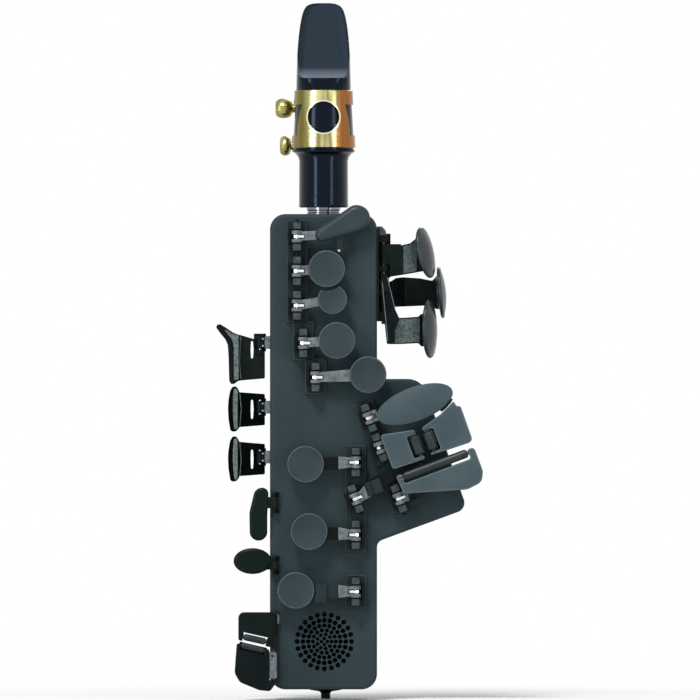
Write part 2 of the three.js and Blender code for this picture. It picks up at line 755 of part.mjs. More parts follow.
function airTube() {
  const bottom = drain.insideLength - drain.nippleLength + gap;
  const top = bodyHeight - wall - neck.flangeThickness - gap;
  const path = new THREE.CatmullRomCurve3([
    new THREE.Vector3(drainCentre, bottom, 0),
    new THREE.Vector3(drainCentre, bottom + drain.nippleLength * 2, 0),
    new THREE.Vector3(drainCentre / 2, (bottom + top) / 2, 0),
    new THREE.Vector3(0, top - drain.nippleLength * 2, 0),
    new THREE.Vector3(0, top, 0),
  ]);
  const ring = (radius) => {
    const shape = new THREE.Shape();
    shape.absarc(0, 0, radius, 0, 2 * Math.PI, false);
    return shape;
  };
  const options = { steps: tube.steps, extrudePath: path, curveSegments: tube.sides };
  const outside = solidFrom(new THREE.ExtrudeGeometry(ring(tube.radius), options));
  const bore = rodAlongY(tube.bore, drainCentre, 0, bottom - overrun, bottom + drain.nippleLength + gap, tube.sides);
  return piece("air_tube", outside.subtract(bore), "black");
}

const sensor = { width: bodyWidth * 0.23, height: 11, depth: bodyDepth * 0.235, portRadius: 1.6, port: 3, drop: 18 };

function breathSensor() {
  const x0 = tube.radius + gap + sensor.port;
  const y1 = bodyHeight - wall - sensor.drop;
  const y0 = y1 - sensor.height;
  const body = block(x0, x0 + sensor.width, y0, y1, -sensor.depth / 2, sensor.depth / 2);
  const port = rodAlongX(sensor.portRadius, (y0 + y1) / 2, 0, tube.radius + gap, x0 + overrun);
  return piece("breath_sensor", join(body, port), "steel");
}

const board = { thickness: 1.6, standOff: 4.2, margin: 3.6, topMargin: 12, chipHeight: 1.2, chipSize: 7, postRadius: 2 };
const boardFront = face - wall - board.standOff;
const chipShares = [0.18, 0.42, 0.66, 0.86];
const boardPostShares = [[-1, 0.04], [1, 0.04], [-1, 0.96], [1, 0.96]];

function mainBoard() {
  const halfWidth = bodySide - wall - board.margin;
  const y0 = speakerY + grilleRadius + speakerSize.rim + overrun;
  const y1 = bodyHeight - wall - board.topMargin;
  const plate = block(-halfWidth, halfWidth, y0, y1, boardFront - board.thickness, boardFront);
  const chips = chipShares.map((share) => {
    const y = y0 + (y1 - y0) * share;
    const back = boardFront - board.thickness - board.chipHeight;
    return block(-board.chipSize, 0, y - board.chipSize / 2, y + board.chipSize / 2, back, boardFront - overrun);
  });
  const posts = boardPostShares.map(([side, share]) => {
    const x = side * (halfWidth - board.postRadius);
    const y = y0 + (y1 - y0) * share;
    return rodAlongZ(board.postRadius, x, y, boardFront - overrun, face - wall - seatGap, smallSides / 2);
  });
  return piece("main_board", join(plate, chips, posts), "circuit");
}

const speakerSize = {
  rim: 1.8,
  rimDepth: 2,
  coneDepth: bodyDepth * 0.132,
  magnetShare: 0.5,
  magnetDepth: bodyDepth * 0.1,
};

function speakerDriver() {
  const radius = grilleRadius + speakerSize.rim;
  const magnet = radius * speakerSize.magnetShare;
  const front = face - wall - seatGap;
  const cone = front - speakerSize.rimDepth;
  const back = cone - speakerSize.coneDepth;
  const outline = [
    [0, back - speakerSize.magnetDepth],
    [magnet, back - speakerSize.magnetDepth],
    [magnet, back],
    [radius - speakerSize.rim, cone],
    [radius, cone],
    [radius, front],
    [radius - speakerSize.rim, front],
    [magnet, back + speakerSize.rim],
    [0, back + speakerSize.rim],
  ];
  const points = outline.map(([r, h]) => new THREE.Vector2(r, h));
  const geometry = new THREE.LatheGeometry(points, roundSides).rotateX(Math.PI / 2);
  return placed(piece("speaker_driver", solidFrom(geometry), "black"), speakerX, speakerY, 0);
}

const cell = {
  width: bodyWidth * 0.373,
  height: bodyHeight * 0.43,
  depth: bodyDepth * 0.25,
  bottomShare: 0.26,
  sideShare: 0.03,
  edge: 1,
};

function battery() {
  const x1 = -bodyWidth * cell.sideShare;
  const y0 = bodyHeight * cell.bottomShare;
  const back = -face + wall + gap;
  const shape = boxOutline(x1 - cell.width, x1, y0, y0 + cell.height, cell.edge);
  return piece("battery", slab(shape, back, back + cell.depth, 0, 2), "foil");
}

// Hinges on the front face. Heights here are counted from the face, and each key is drawn about its own pivot.

const leftRodX = -bodyWidth * 0.247;
const aRodX = -bodyWidth * 0.188;
const gRodX = -bodyWidth * 0.074;
const rightRodX = bodyWidth * 0.3;
const railHalfWidth = 4.4;
const railMargin = 1;
const rodTail = 1;
const stackHubShares = {
  front_f_key: 0.9526,
  b_key: 0.88,
  bis_key: 0.8075,
  a_key: 0.7286,
  g_key: 0.6565,
  right_f_key: 0.478,
  right_e_key: 0.3255,
  right_d_key: 0.2061,
};

function hubHeight(name) {
  return bodyHeight * stackHubShares[name];
}

function postSpans(centre, length = hubLength) {
  const near = length / 2 + gap;
  return [
    [centre - near - postLength, centre - near],
    [centre + near, centre + near + postLength],
  ];
}

function hingePosts(x, centre, frame = upright, length = hubLength) {
  const top = rodHeight + postRise;
  return postSpans(centre, length).map(([y0, y1]) =>
    block(x - postWidth / 2, x + postWidth / 2, y0, y1, railThickness - seatGap, top, frame),
  );
}

function hingePin(x, centre, frame = upright, length = hubLength) {
  const [low, high] = postSpans(centre, length);
  return rodAlongY(rodRadius, x, rodHeight, low[0] + seatGap, high[1] - seatGap, smallSides, frame);
}

function basePlate(x, y0, y1, frame = upright) {
  return block(x - railHalfWidth, x + railHalfWidth, y0, y1, 0, railThickness, frame);
}

function stackSpan(names) {
  const spans = names.flatMap((name) => postSpans(hubHeight(name))).flat();
  return [Math.min(...spans), Math.max(...spans)];
}

const firstRow = ["front_f_key", "b_key", "bis_key"];
const [firstRowLow, firstRowHigh] = stackSpan(firstRow);

function leftStackRail() {
  const [aLow, aHigh] = stackSpan(["a_key"]);
  const [gLow, gHigh] = stackSpan(["g_key"]);
  const plates = [
    basePlate(leftRodX, firstRowLow - railMargin, firstRowHigh + railMargin),
    basePlate(aRodX, (aLow + gHigh) / 2 - seatGap, firstRowLow),
    basePlate(gRodX, gLow - railMargin, (aLow + gHigh) / 2 + railMargin),
  ];
  const posts = [
    firstRow.map((name) => hingePosts(leftRodX, hubHeight(name))),
    hingePosts(aRodX, hubHeight("a_key")),
    hingePosts(gRodX, hubHeight("g_key")),
  ];
  const bore = rodAlongY(
    rodRadius + seatGap, leftRodX, rodHeight, firstRowLow - overrun, firstRowHigh + overrun, smallSides,
  );
  const pins = [hingePin(aRodX, hubHeight("a_key")), hingePin(gRodX, hubHeight("g_key"))];
  return piece("left_stack_rail", join(cut(join(plates, posts.flat()), bore), pins), "charcoal");
}

function leftStackRod() {
  const low = firstRowLow - rodTail;
  const high = firstRowHigh + rodTail;
  const mesh = piece("left_stack_rod", rodAlongY(rodRadius, 0, 0, low, high), "steel");
  return placed(mesh, leftRodX, 0, rodHeight);
}

// Key parts drawn about the pivot at the origin, with the rod along y

const fork = { slotWidth: 1.3, slotReach: 4.4 };

function hub(length = hubLength, radius = hubRadius) {
  return rodAlongY(radius, 0, 0, -length / 2, length / 2, hubSides);
}

function bored(solid, length = hubLength) {
  return solid.subtract(rodAlongY(rodRadius + boreClearance, 0, 0, -length, length));
}

// Two prongs round the rod, with the slot where the return spring sits
function forked(solid, side) {
  const x = [-side * (hubRadius + overrun), side * fork.slotReach].sort((p, q) => p - q);
  const half = fork.slotWidth / 2;
  return bored(solid.subtract(block(x[0], x[1], -half, half, -hubRadius - overrun, hubRadius + overrun)));
}

const leverTop = leverThickness / 2;
const touchSeat = leverTop - touchEdge;

function touchPlace([xShare, yShare], rodX, name) {
  return [bodyWidth * xShare - rodX, bodyHeight * yShare - hubHeight(name)];
}

function placedKey(name, solid, x, y = hubHeight(name), finish = "charcoal") {
  return placed(piece(name, solid, finish), x, y, rodHeight);
}

const paddle = { tipShares: [-0.0145, 0.9556], roundShares: [0.313, 0.9916], tipRadius: 3.1, roundRadius: 5.85 };

function frontFKey() {
  const name = "front_f_key";
  const [x0, y0] = touchPlace(paddle.tipShares, leftRodX, name);
  const [x1, y1] = touchPlace(paddle.roundShares, leftRodX, name);
  const outline = capsuleOutline(x0, y0, paddle.tipRadius, x1, y1, paddle.roundRadius);
  const touch = slab(outline, touchSeat, touchSeat + touchThickness, touchEdge);
  const arm = slab(capsuleOutline(0, 0, leverWidth / 2, x0, y0, leverWidth / 2 - seatGap), -leverTop, leverTop);
  return placedKey(name, forked(join(hub(), arm, touch), 1), leftRodX);
}

const leftArmWidth = 4.6;
const gArmWidth = 6.3;
const leftTouches = [
  { name: "b_key", rodX: leftRodX, touchShares: [0.03, 0.8846], armWidth: leftArmWidth },
  { name: "a_key", rodX: aRodX, touchShares: [0.126, 0.7339], armWidth: leftArmWidth },
  { name: "g_key", rodX: gRodX, touchShares: [0.415, 0.662], armWidth: gArmWidth },
];

function leftKey({ name, rodX, touchShares, armWidth }) {
  const [x, y] = touchPlace(touchShares, rodX, name);
  const arm = slab(capsuleOutline(0, 0, leverWidth / 2, x, y, armWidth / 2), -leverTop, leverTop);
  const solid = join(hub(), arm, touchDisc(x, y, touchSeat, touchRadius));
  return placedKey(name, forked(solid, 1), rodX);
}

const bis = { touchShares: [0.083, 0.82], radius: touchRadius * 0.8024, biteGap: 1.5 };

function bisKey() {
  const name = "bis_key";
  const [x, y] = touchPlace(bis.touchShares, leftRodX, name);
  const [biteX, biteY] = touchPlace(leftTouches[0].touchShares, leftRodX, name);
  const arm = slab(capsuleOutline(0, 0, leverWidth / 2, x, y, leverWidth / 2 - seatGap), -leverTop, leverTop);
  const bite = rodAlongZ(touchRadius + bis.biteGap, biteX, biteY, touchSeat - overrun, 2 * touchThickness, roundSides);
  const touch = touchDisc(x, y, touchSeat, bis.radius).subtract(bite);
  return placedKey(name, forked(join(hub(), arm, touch), 1), leftRodX);
}

const rightTouches = [
  { name: "right_f_key", touchShares: [-0.167, 0.474] },
  { name: "right_e_key", touchShares: [-0.133, 0.3324] },
  { name: "right_d_key", touchShares: [-0.257, 0.2088], saddle: true },
];
const step = { reach: 7.8, hubHalf: 1.9, endHalf: 2.95, drop: 1.6, rise: 1.1, armHalf: 2.7, saddleHalf: 4.4 };
const saddle = { near: 5.6, length: 5.4 };

function rightKey({ name, touchShares, saddle: hasSaddle }) {
  const [x, y] = touchPlace(touchShares, rightRodX, name);
  const lean = y / x;
  const bend = -step.reach;
  const upper = new THREE.Shape([
    new THREE.Vector2(0, -step.hubHalf),
    new THREE.Vector2(0, step.hubHalf),
    new THREE.Vector2(bend, bend * lean + step.endHalf),
    new THREE.Vector2(bend, bend * lean - step.endHalf),
  ]);
  const near = bend + overrun;
  const lower = new THREE.Shape([
    new THREE.Vector2(near, near * lean - step.endHalf),
    new THREE.Vector2(near, near * lean + step.endHalf),
    new THREE.Vector2(x, y + step.armHalf),
    new THREE.Vector2(x, y - step.armHalf),
  ]);
  const low = -step.drop;
  const top = low + leverThickness;
  const parts = [
    hub(),
    slab(upper, low, leverTop + step.rise),
    slab(lower, low, top),
    touchDisc(x, y, top - touchEdge, touchRadius),
  ];
  if (hasSaddle) {
    const edge = x + touchRadius + saddle.near;
    const middle = y + step.endHalf - step.saddleHalf;
    const rise = low + leverThickness + step.rise;
    parts.push(block(edge - saddle.length, edge, middle - step.saddleHalf, middle + step.saddleHalf, low, rise));
  }
  return placedKey(name, forked(join(parts), -1), rightRodX);
}

// Table of the left little finger: a tilted hinge on the wing, with its own frame a to the right and b up the rod

const table = { xShare: 0.4232, yShare: 0.571 };
const tableX = bodyWidth * table.xShare;
const tableY = bodyHeight * table.yShare;
const tableFrame = new THREE.Matrix4()
  .makeTranslation(tableX, tableY, 0)
  .multiply(new THREE.Matrix4().makeRotationZ(tableTilt));
const tableSpan = bodyHeight * 0.18925;
const cSharpHub = -tableSpan * 0.351;
const bFlatHub = -tableSpan * 0.956;
const lowBHub = { a: -tableSpan * 0.452, b: -tableSpan * 0.788 };
const tableLift = 5.4;
const tablePlate = 2.6;
const tableEdge = 0.6;
const axleRadius = 0.6;
const rollerBore = 0.85;
const rollerSides = 10;

function tableRail() {
  const low = postSpans(cSharpHub)[0][0];
  const high = postSpans(0)[1][1];
  const parts = [basePlate(0, low - railMargin, high + railMargin), hingePosts(0, 0), hingePosts(0, cSharpHub)];
  const bore = rodAlongY(rodRadius + seatGap, 0, rodHeight, low - overrun, high + overrun);
  return piece("table_rail", cut(join(parts.flat()), bore), "charcoal");
}

function tableRod() {
  const low = postSpans(cSharpHub)[0][0] - rodTail;
  const high = postSpans(0)[1][1] + rodTail;
  return placed(piece("table_rod", rodAlongY(rodRadius, 0, 0, low, high), "steel"), 0, 0, rodHeight);
}

function bFlatBracket() {
  const [low, high] = postSpans(bFlatHub);
  const solid = join(
    basePlate(0, low[0] - railMargin, high[1] + railMargin),
    hingePosts(0, bFlatHub),
    hingePin(0, bFlatHub),
  );
  return piece("low_b_flat_bracket", solid, "charcoal");
}

function rightStackRail() {
  const [low, high] = stackSpan(["right_f_key", "right_e_key"]);
  const keys = ["right_f_key", "right_e_key"].map(hubHeight);
  const parts = [
    basePlate(rightRodX, low - railMargin, high + railMargin),
    keys.flatMap((height) => hingePosts(rightRodX, height)),
    keys.map((height) => hingePin(rightRodX, height)),
    hingePosts(lowBHub.a, lowBHub.b, tableFrame),
    hingePin(lowBHub.a, lowBHub.b, tableFrame),
  ];
  return piece("right_stack_rail", join(parts.flat()), "charcoal");
}

function rightDBracket() {
  const centre = hubHeight("right_d_key");
  const [low, high] = postSpans(centre);
  const solid = join(
    basePlate(rightRodX, low[0] - railMargin, high[1] + railMargin),
    hingePosts(rightRodX, centre),
    hingePin(rightRodX, centre),
  );
  return piece("right_d_bracket", solid, "charcoal");
}

function roller(name, length, radius) {
  const outer = rodAlongY(radius, 0, 0, -length / 2, length / 2, rollerSides);
  const bore = rodAlongY(rollerBore, 0, 0, -length, length, rollerSides);
  return piece(name, outer.subtract(bore), "charcoal");
}

// The arm of a table key climbs from the hub to the plates, in shares of that climb
const tableArmShares = [[0, 0], [0.74, 0.06], [1.5, 1.2], [2.2, 1.2]];
const tableArmThickness = 2;

function tableArm(length = hubLength, offset = 0) {
  const path = tableArmShares.map(([x, z]) => [x * tableLift, z * tableLift]);
  return strap(path, tableArmThickness, offset - length / 2, offset + length / 2);
}

const ellipse = {
  placeShares: [0.531, -0.035],
  halfWidth: tableSpan * 0.4444,
  halfHeight: tableSpan * 0.1889,
  rimShare: 0.86,
  thickness: 3.4,
};

// Heights of a lens section in shares of its thickness
const lensShares = { under: 0.08, rim: 0.36, shoulder: 0.72, crown: 0.94 };

function lens(halfWidth, halfHeight, thickness, rimShare, sides = roundSides) {
  const profile = [
    [0, 0],
    [rimShare, lensShares.under],
    [1, lensShares.rim],
    [rimShare, lensShares.shoulder],
    [rimShare / 2, lensShares.crown],
    [0, 1],
  ];
  const points = profile.map(([r, h]) => new THREE.Vector2(r, h));
  return new THREE.LatheGeometry(points, sides).rotateX(Math.PI / 2).scale(halfWidth, halfHeight, thickness);
}

function gSharpKey() {
  const geometry = lens(ellipse.halfWidth, ellipse.halfHeight, ellipse.thickness, ellipse.rimShare);
  const [a, b] = ellipse.placeShares.map((share) => share * tableSpan);
  const touch = solidFrom(geometry.translate(a, b, tableLift));
  return placed(piece("g_sharp_key", forked(join(hub(), tableArm(), touch), 1), "charcoal"), 0, 0, rodHeight);
}

const shortRoller = { radius: 2.4, length: tableSpan * 0.21, endGap: 0.8, sideGap: 0.7, proud: 0.8 };
const longRoller = { radius: 2, length: tableSpan * 0.753, endGap: 0.5, sideGap: 0.9, proud: 0.9 };
const pinSeat = 0.6;
const cSharpPlate = {
  cornerShares: [[0.047, -0.63], [0.43, -0.644], [0.43, -0.296], [0.047, -0.215]],
  radius: 1.4,
  rollerShares: [0.395, -0.472],
  side: 1,
};
const lowBPlate = {
  cornerShares: [[0.501, -0.63], [0.993, -0.649], [1, -0.23], [0.514, -0.306]],
  radius: 2.2,
  rollerShares: [0.551, -0.474],
  side: -1,
};
const bFlatPlate = {
  cornerShares: [[0.052, -0.701], [0.067, -0.923], [0.731, -1.111], [0.919, -1.096], [0.983, -1], [0.983, -0.711]],
  radius: 1.6,
  rollerShares: [0.511, -0.746],
};
const shortRollerHeight = tableLift + tablePlate + shortRoller.proud - shortRoller.radius;
const longRollerHeight = tableLift + tablePlate + longRoller.proud - longRoller.radius;

// A place on the table, counted from the pivot of its key
function fromPivot([aShare, bShare], [hubA, hubB]) {
  return [aShare * tableSpan - hubA, bShare * tableSpan - hubB];
}

function plateSlab({ cornerShares, radius }, pivot) {
  const outline = roundedOutline(cornerShares.map((corner) => [...fromPivot(corner, pivot), radius]));
  return slab(outline, tableLift, tableLift + tablePlate, tableEdge);
}

// A plate on its arm, with a notch for its roller on one side and the roller's pin across the notch
function notchedPlate(plate, pivot, arm) {
  const [a, b] = fromPivot(plate.rollerShares, pivot);
  const half = shortRoller.length / 2 + shortRoller.endGap;
  const inner = a - plate.side * (shortRoller.radius + shortRoller.sideGap);
  const outer = a + plate.side * (shortRoller.radius + overrun);
  const [x0, x1] = [inner, outer].sort((p, q) => p - q);
  const notch = block(x0, x1, b - half, b + half, 0, 2 * (tableLift + tablePlate));
  const pin = rodAlongY(axleRadius, a, shortRollerHeight, b - half - pinSeat, b + half + pinSeat);
  return plateSlab(plate, pivot).add(arm).subtract(notch).add(pin);
}

function tableGroup(name, solid, [hubA, hubB], wheel) {
  const group = new THREE.Group();
  group.add(piece(name, solid, "charcoal"));
  if (wheel) group.add(wheel);
  return placed(group, hubA, hubB, rodHeight);
}

function cSharpKey() {
  const pivot = [0, cSharpHub];
  const solid = forked(join(hub(), notchedPlate(cSharpPlate, pivot, tableArm())), 1);
  const wheel = roller("table_roller_left", shortRoller.length, shortRoller.radius);
  placed(wheel, ...fromPivot(cSharpPlate.rollerShares, pivot), shortRollerHeight);
  return tableGroup("c_sharp_key", solid, pivot, wheel);
}

// The low B key reaches under the C sharp plate from a hinge of its own
const lowBArm = {
  flare: tableSpan * 0.064,
  bend: tableSpan * 0.212,
  bendLow: tableSpan * 0.035,
  bendHigh: tableSpan * 0.148,
  startHalf: tableSpan * 0.059,
  low: -2.1,
  high: 0.7,
  landing: tableSpan * 0.222,
  landingHalf: tableSpan * 0.059,
  riser: tableSpan * 0.08,
};

function lowBKey() {
  const pivot = [lowBHub.a, lowBHub.b];
  const [landA, landLow] = fromPivot(lowBPlate.cornerShares[0], pivot);
  const landHigh = landLow + 2 * lowBArm.landingHalf;
  const end = landA + lowBArm.landing;
  const web = new THREE.Shape([
    new THREE.Vector2(0, -lowBArm.startHalf),
    new THREE.Vector2(lowBArm.bend, -lowBArm.bendLow),
    new THREE.Vector2(landA, landLow),
    new THREE.Vector2(end, landLow),
    new THREE.Vector2(end, landHigh),
    new THREE.Vector2(landA, landHigh),
    new THREE.Vector2(lowBArm.bend, lowBArm.bendHigh),
    new THREE.Vector2(lowBArm.flare, lowBArm.startHalf),
    new THREE.Vector2(0, lowBArm.startHalf),
  ]);
  const riser = block(end - lowBArm.riser, end, landLow, landHigh, lowBArm.low, tableLift + overrun);
  const arm = slab(web, lowBArm.low, lowBArm.high);
  const solid = forked(join(hub(), arm, notchedPlate(lowBPlate, pivot, riser)), 1);
  const wheel = roller("table_roller_right", shortRoller.length, shortRoller.radius);
  placed(wheel, ...fromPivot(lowBPlate.rollerShares, pivot), shortRollerHeight);
  return tableGroup("low_b_key", solid, pivot, wheel);
}

function bFlatKey() {
  const pivot = [0, bFlatHub];
  const [a, b] = fromPivot(bFlatPlate.rollerShares, pivot);
  const half = longRoller.length / 2 + longRoller.endGap;
  const below = b - longRoller.radius - longRoller.sideGap;
  const above = b + longRoller.radius + overrun;
  const notch = block(a - half, a + half, below, above, 0, 2 * (tableLift + tablePlate));
  const pin = rodAlongX(axleRadius, b, longRollerHeight, a - half - pinSeat, a + half + pinSeat);
  const plate = plateSlab(bFlatPlate, pivot).subtract(notch).add(pin);
  const solid = forked(join(hub(), tableArm(), plate), 1);
  const wheel = roller("table_roller_long", longRoller.length, longRoller.radius);
  wheel.rotation.z = Math.PI / 2;
  placed(wheel, a, b, longRollerHeight);
  return tableGroup("low_b_flat_key", solid, pivot, wheel);
}

// Palm keys: straps that bend out from a hinge on the right side to upright lens-shaped touches

const palm = { lowShare: 0.774, highShare: 0.974, baseThickness: 0.9, baseHalf: 4.2, standOff: 2.8, setBack: 5.2 };
const palmPost = { half: 1.6, hubRadius: 1.55, spans: [[0.774, 0.7935], [0.8295, 0.8407], [0.878, 0.891], [0.9397, 0.959]] };
const palmX = bodySide + palm.standOff;
const palmZ = face - palm.setBack;
const palmReach = bodyHeight * 0.115;
const palmStrap = 2;
const palmRimShare = 0.7;
const palmDepth = palmReach * 0.366;
const palmKeys = [
  {
    name: "palm_d_key",
    hubShares: [0.8925, 0.9383],
    armShares: [0.8696, 0.9346],
    stemShares: [[0, 0], [0.325, -0.024]],
    pathShares: [[0.12, -0.009], [0.325, -0.024], [0.61, -0.28], [0.77, -0.3]],
    touchShares: { reach: 0.715, height: 0.9178, back: -0.3 },
    size: { halfHeight: palmReach * 0.4756, thickness: palmReach * 0.179 },
    lean: 11.6 * degree,
    turn: 20 * degree,
  },
  {
    name: "palm_e_flat_key",
    hubShares: [0.7953, 0.828],
    armShares: [0.8056, 0.8607],
    stemShares: [[0, 0], [0.16, -0.34]],
    pathShares: [[0.13, -0.28], [0.366, -0.707], [1.05, -0.707]],
    touchShares: { reach: 1, height: 0.8346, back: -0.707 },
    size: { halfHeight: palmReach * 0.4756, thickness: palmReach * 0.1545 },
    lean: 5 * degree,
    turn: 2 * degree,
  },
  {
    name: "palm_f_key",
    hubShares: [0.8421, 0.8766],
    armShares: [0.7262, 0.7822],
    stemShares: [[0, 0], [0, 0.14]],
    pathShares: [[0.12, 0.1], [0.7, -0.27], [0.85, -0.3]],
    touchShares: { reach: 0.789, height: 0.7579, back: -0.309 },
    size: { halfHeight: palmReach * 0.5366, thickness: palmReach * 0.179 },
    lean: 1 * degree,
    turn: 17 * degree,
  },
];
const palmFLever = {
  outlineShares: [[-0.057, 0.8607], [0.061, 0.8766], [0.22, 0.799], [0.12, 0.7262], [0.065, 0.7262]],
  windowShares: [[0.014, 0.839], [0.085, 0.839], [0.155, 0.793], [0.062, 0.785]],
  frontShare: 0.19,
  backShare: 0.1,
};

function palmRail() {
  const low = bodyHeight * palm.lowShare;
  const high = bodyHeight * palm.highShare;
  const base = block(
    bodySide, bodySide + palm.baseThickness, low, high, palmZ - palm.baseHalf, palmZ + palm.baseHalf,
  );
  const posts = palmPost.spans.map(([from, to]) =>
    block(
      bodySide + palm.baseThickness - seatGap, palmX + palmPost.half, bodyHeight * from, bodyHeight * to,
      palmZ - palmPost.half, palmZ + palmPost.half,
    ),
  );
  const bore = rodAlongY(rodRadius + seatGap, palmX, palmZ, low - overrun, high);
  return piece("palm_rail", join(base, cut(join(posts), bore)), "black");
}

function palmRod() {
  const low = bodyHeight * palmPost.spans[0][0] - rodTail;
  const high = bodyHeight * palmPost.spans[3][1] + rodTail;
  return placed(piece("palm_rod", rodAlongY(rodRadius, 0, 0, low, high), "steel"), palmX, 0, palmZ);
}

function palmTouch({ touchShares, size, lean, turn }, hubY) {
  const geometry = lens(palmDepth, size.halfHeight, size.thickness, palmRimShare, roundSides);
  geometry.rotateY(Math.PI / 2 - turn).rotateZ(lean);
  const { reach, height, back } = touchShares;
  return solidFrom(geometry.translate(palmReach * reach, bodyHeight * height - hubY, palmReach * back));
}

function palmKey(key) {
  const [hubLow, hubHigh] = key.hubShares.map((share) => bodyHeight * share);
  const hubY = (hubLow + hubHigh) / 2;
  const [armLow, armHigh] = key.armShares.map((share) => bodyHeight * share - hubY);
  const path = (shares) => shares.map(([x, z]) => [x * palmReach, z * palmReach]);
  const half = (hubHigh - hubLow) / 2 - gap;
  const parts = [
    hub(2 * half, palmPost.hubRadius),
    strap(path(key.stemShares), palmStrap, -half, half),
    strap(path(key.pathShares), palmStrap, armLow, armHigh),
    palmTouch(key, hubY),
  ];
  if (key.name === "palm_f_key") {
    const plate = (shares, grow) =>
      slab(
        roundedOutline(shares.map(([x, y]) => [x * palmReach, y * bodyHeight - hubY, 0])),
        palmFLever.backShare * palmReach - grow,
        palmFLever.frontShare * palmReach + grow,
      );
    parts.push(cut(plate(palmFLever.outlineShares, 0), plate(palmFLever.windowShares, overrun)));
  }
  const mesh = piece(key.name, bored(join(parts), hubHigh - hubLow), "black");
  return placed(mesh, palmX, hubY, palmZ);
}

// Side keys on the left: a flat arm from the pivot to a blade that the hand pushes towards the body.
// Outlines are in shares of the reach from the pivot to the outside of the blade.

const sideReach = 14.4;
const sideArmHalf = 1.2;
const sideBladeThickness = 2.8;
const sideKnuckle = { radius: 1.9, reach: sideSpan * 0.382 };
const sideSlitShares = [-0.292, -0.18];
const sideBladeShares = [[-0.735, 0.14], [-0.8, -0.06], [-0.9, -0.3], [-0.91, -0.6], [-0.85, -0.92]];
const sideBladeCorner = 0.5;
const plainBladeShares = [
  [-0.62, 0.44],
  [-0.69, 0.58],
  [-0.76, 0.65],
  [-0.87, 0.63],
  [-0.94, 0.5],
  [-0.985, 0.25],
  [-1.01, -0.03],
  [-0.985, -0.4],
  [-0.93, -0.73],
  [-0.85, -0.77],
  [-0.735, -0.75],
  [-0.62, -0.61],
];
const hookedBladeShares = [
  [-0.6, 0.235],
  [-0.7, 0.25],
  [-0.86, 0.32],
  [-1.05, 0.455],
  [-1.24, 0.57],
  [-1.34, 0.56],
  [-1.375, 0.47],
  [-1.23, 0.27],
  [-1.08, 0.09],
  [-1.01, -0.08],
  [-0.985, -0.42],
  [-0.965, -1.18],
  [-0.915, -1.3],
  [-0.81, -1.3],
  [-0.7, -1.215],
  [-0.6, -1.19],
];
const sideHookShares = [-0.35, 0.1];
const sideKeys = [
  {
    name: "side_e_key",
    armShares: [[-0.7, 0.26], [-0.7, -1.2], [0.153, -1.125], [0.153, -0.235], [-0.16, -0.235], [-0.16, 0.1]],
    slitShares: [-0.5, 0.04],
    bladeShares: hookedBladeShares,
    hooked: true,
  },
  {
    name: "side_c_key",
    armShares: [[-0.7, 0.47], [-0.7, -0.63], [0.153, -0.5625], [0.153, 0.41]],
    slitShares: [-0.368, 0.229],
    bladeShares: plainBladeShares,
    hooked: false,
  },
  {
    name: "side_b_flat_key",
    armShares: [[-0.7, 0.48], [-0.7, -0.6], [0.153, -0.54], [0.153, 0.41]],
    slitShares: [-0.368, 0.229],
    bladeShares: plainBladeShares,
    hooked: false,
  },
];

function sideKey({ name, armShares, slitShares, bladeShares, hooked }, index) {
  const scaled = (shares) => shares.map((share) => share * sideReach);
  const place = ([x, y]) => [x * sideReach, y * sideSpan];
  const heights = (shares) => shares.map((share) => share * sideSpan);
  const corners = armShares.map((corner) => [...place(corner), sideArmHalf / 2]);
  const arm = slab(roundedOutline(corners, 2), -sideArmHalf, sideArmHalf);
  const [slitLeft, slitRight] = scaled(sideSlitShares);
  const [slitLow, slitHigh] = heights(slitShares);
  const slit = block(slitLeft, slitRight, slitLow, slitHigh, -sideArmHalf - overrun, sideArmHalf + overrun);
  const notchReach = keyFrame.tabHalf + gap;
  const notch = block(
    -keyFrame.knuckleRadius - gap, sideReach, -notchReach, notchReach, -sideReach, sideReach,
  );
  const knuckle = (sign) => {
    const [y0, y1] = [sign * notchReach, sign * sideKnuckle.reach].sort((p, q) => p - q);
    return rodAlongY(sideKnuckle.radius, 0, 0, y0, y1);
  };
  const outline = roundedOutline(bladeShares.map((corner) => [...place(corner), sideBladeCorner]), 2);
  const around = slab(outline, -2 * sideReach, sideReach);
  const blade = strap(sideBladeShares.map(scaled), sideBladeThickness, -2 * sideSpan, sideSpan).intersect(around);
  const parts = [cut(arm, slit, notch), blade, knuckle(-1)];
  if (hooked) parts.push(slab(outline, ...scaled(sideHookShares)).subtract(notch));
  else parts.push(knuckle(1));
  const mesh = piece(name, bored(join(parts), sideKnuckle.reach + gap), "black");
  return placed(mesh, sidePivotX, bodyHeight * sideKeyHeightShares[index], sidePivotZ);
}

// Trill touches at the left edge of the front face

const trill = { padLow: -1.3, padHigh: 1.9, edge: 0.9, armThickness: 2, padSteps: 5 };
const forkPadReach = 17;
const forkPadShares = [
  [-0.15, 0.397, 0.21],
  [-0.51, 0.397, 0.23],
  [-0.668, -0.25, 0.5],
  [-0.658, -1.006, 0.24],
  [-0.192, -1.006, 0.24],
  [-0.192, -0.33, 0.1],
];
const ovalPad = { placeShares: [-0.2063, 0.0086], halfWidth: 8.55, halfHeight: 5.85 };

function trillKey(key, outline, reach) {
  const halfArm = key.hubLength / 2 - seatGap;
  const arm = block(reach, 0, -halfArm, halfArm, -trill.armThickness / 2, trill.armThickness / 2);
  const pad = slab(outline, trill.padLow, trill.padHigh, trill.edge, trill.padSteps * 2, 2);
  const keyHub = hub(key.hubLength, trillPivot.hubRadius);
  const mesh = piece(key.name, bored(join(keyHub, arm, pad), key.hubLength), "black");
  return placed(mesh, trillPivotX, bodyHeight * key.hubShare, face + trillPivot.height);
}

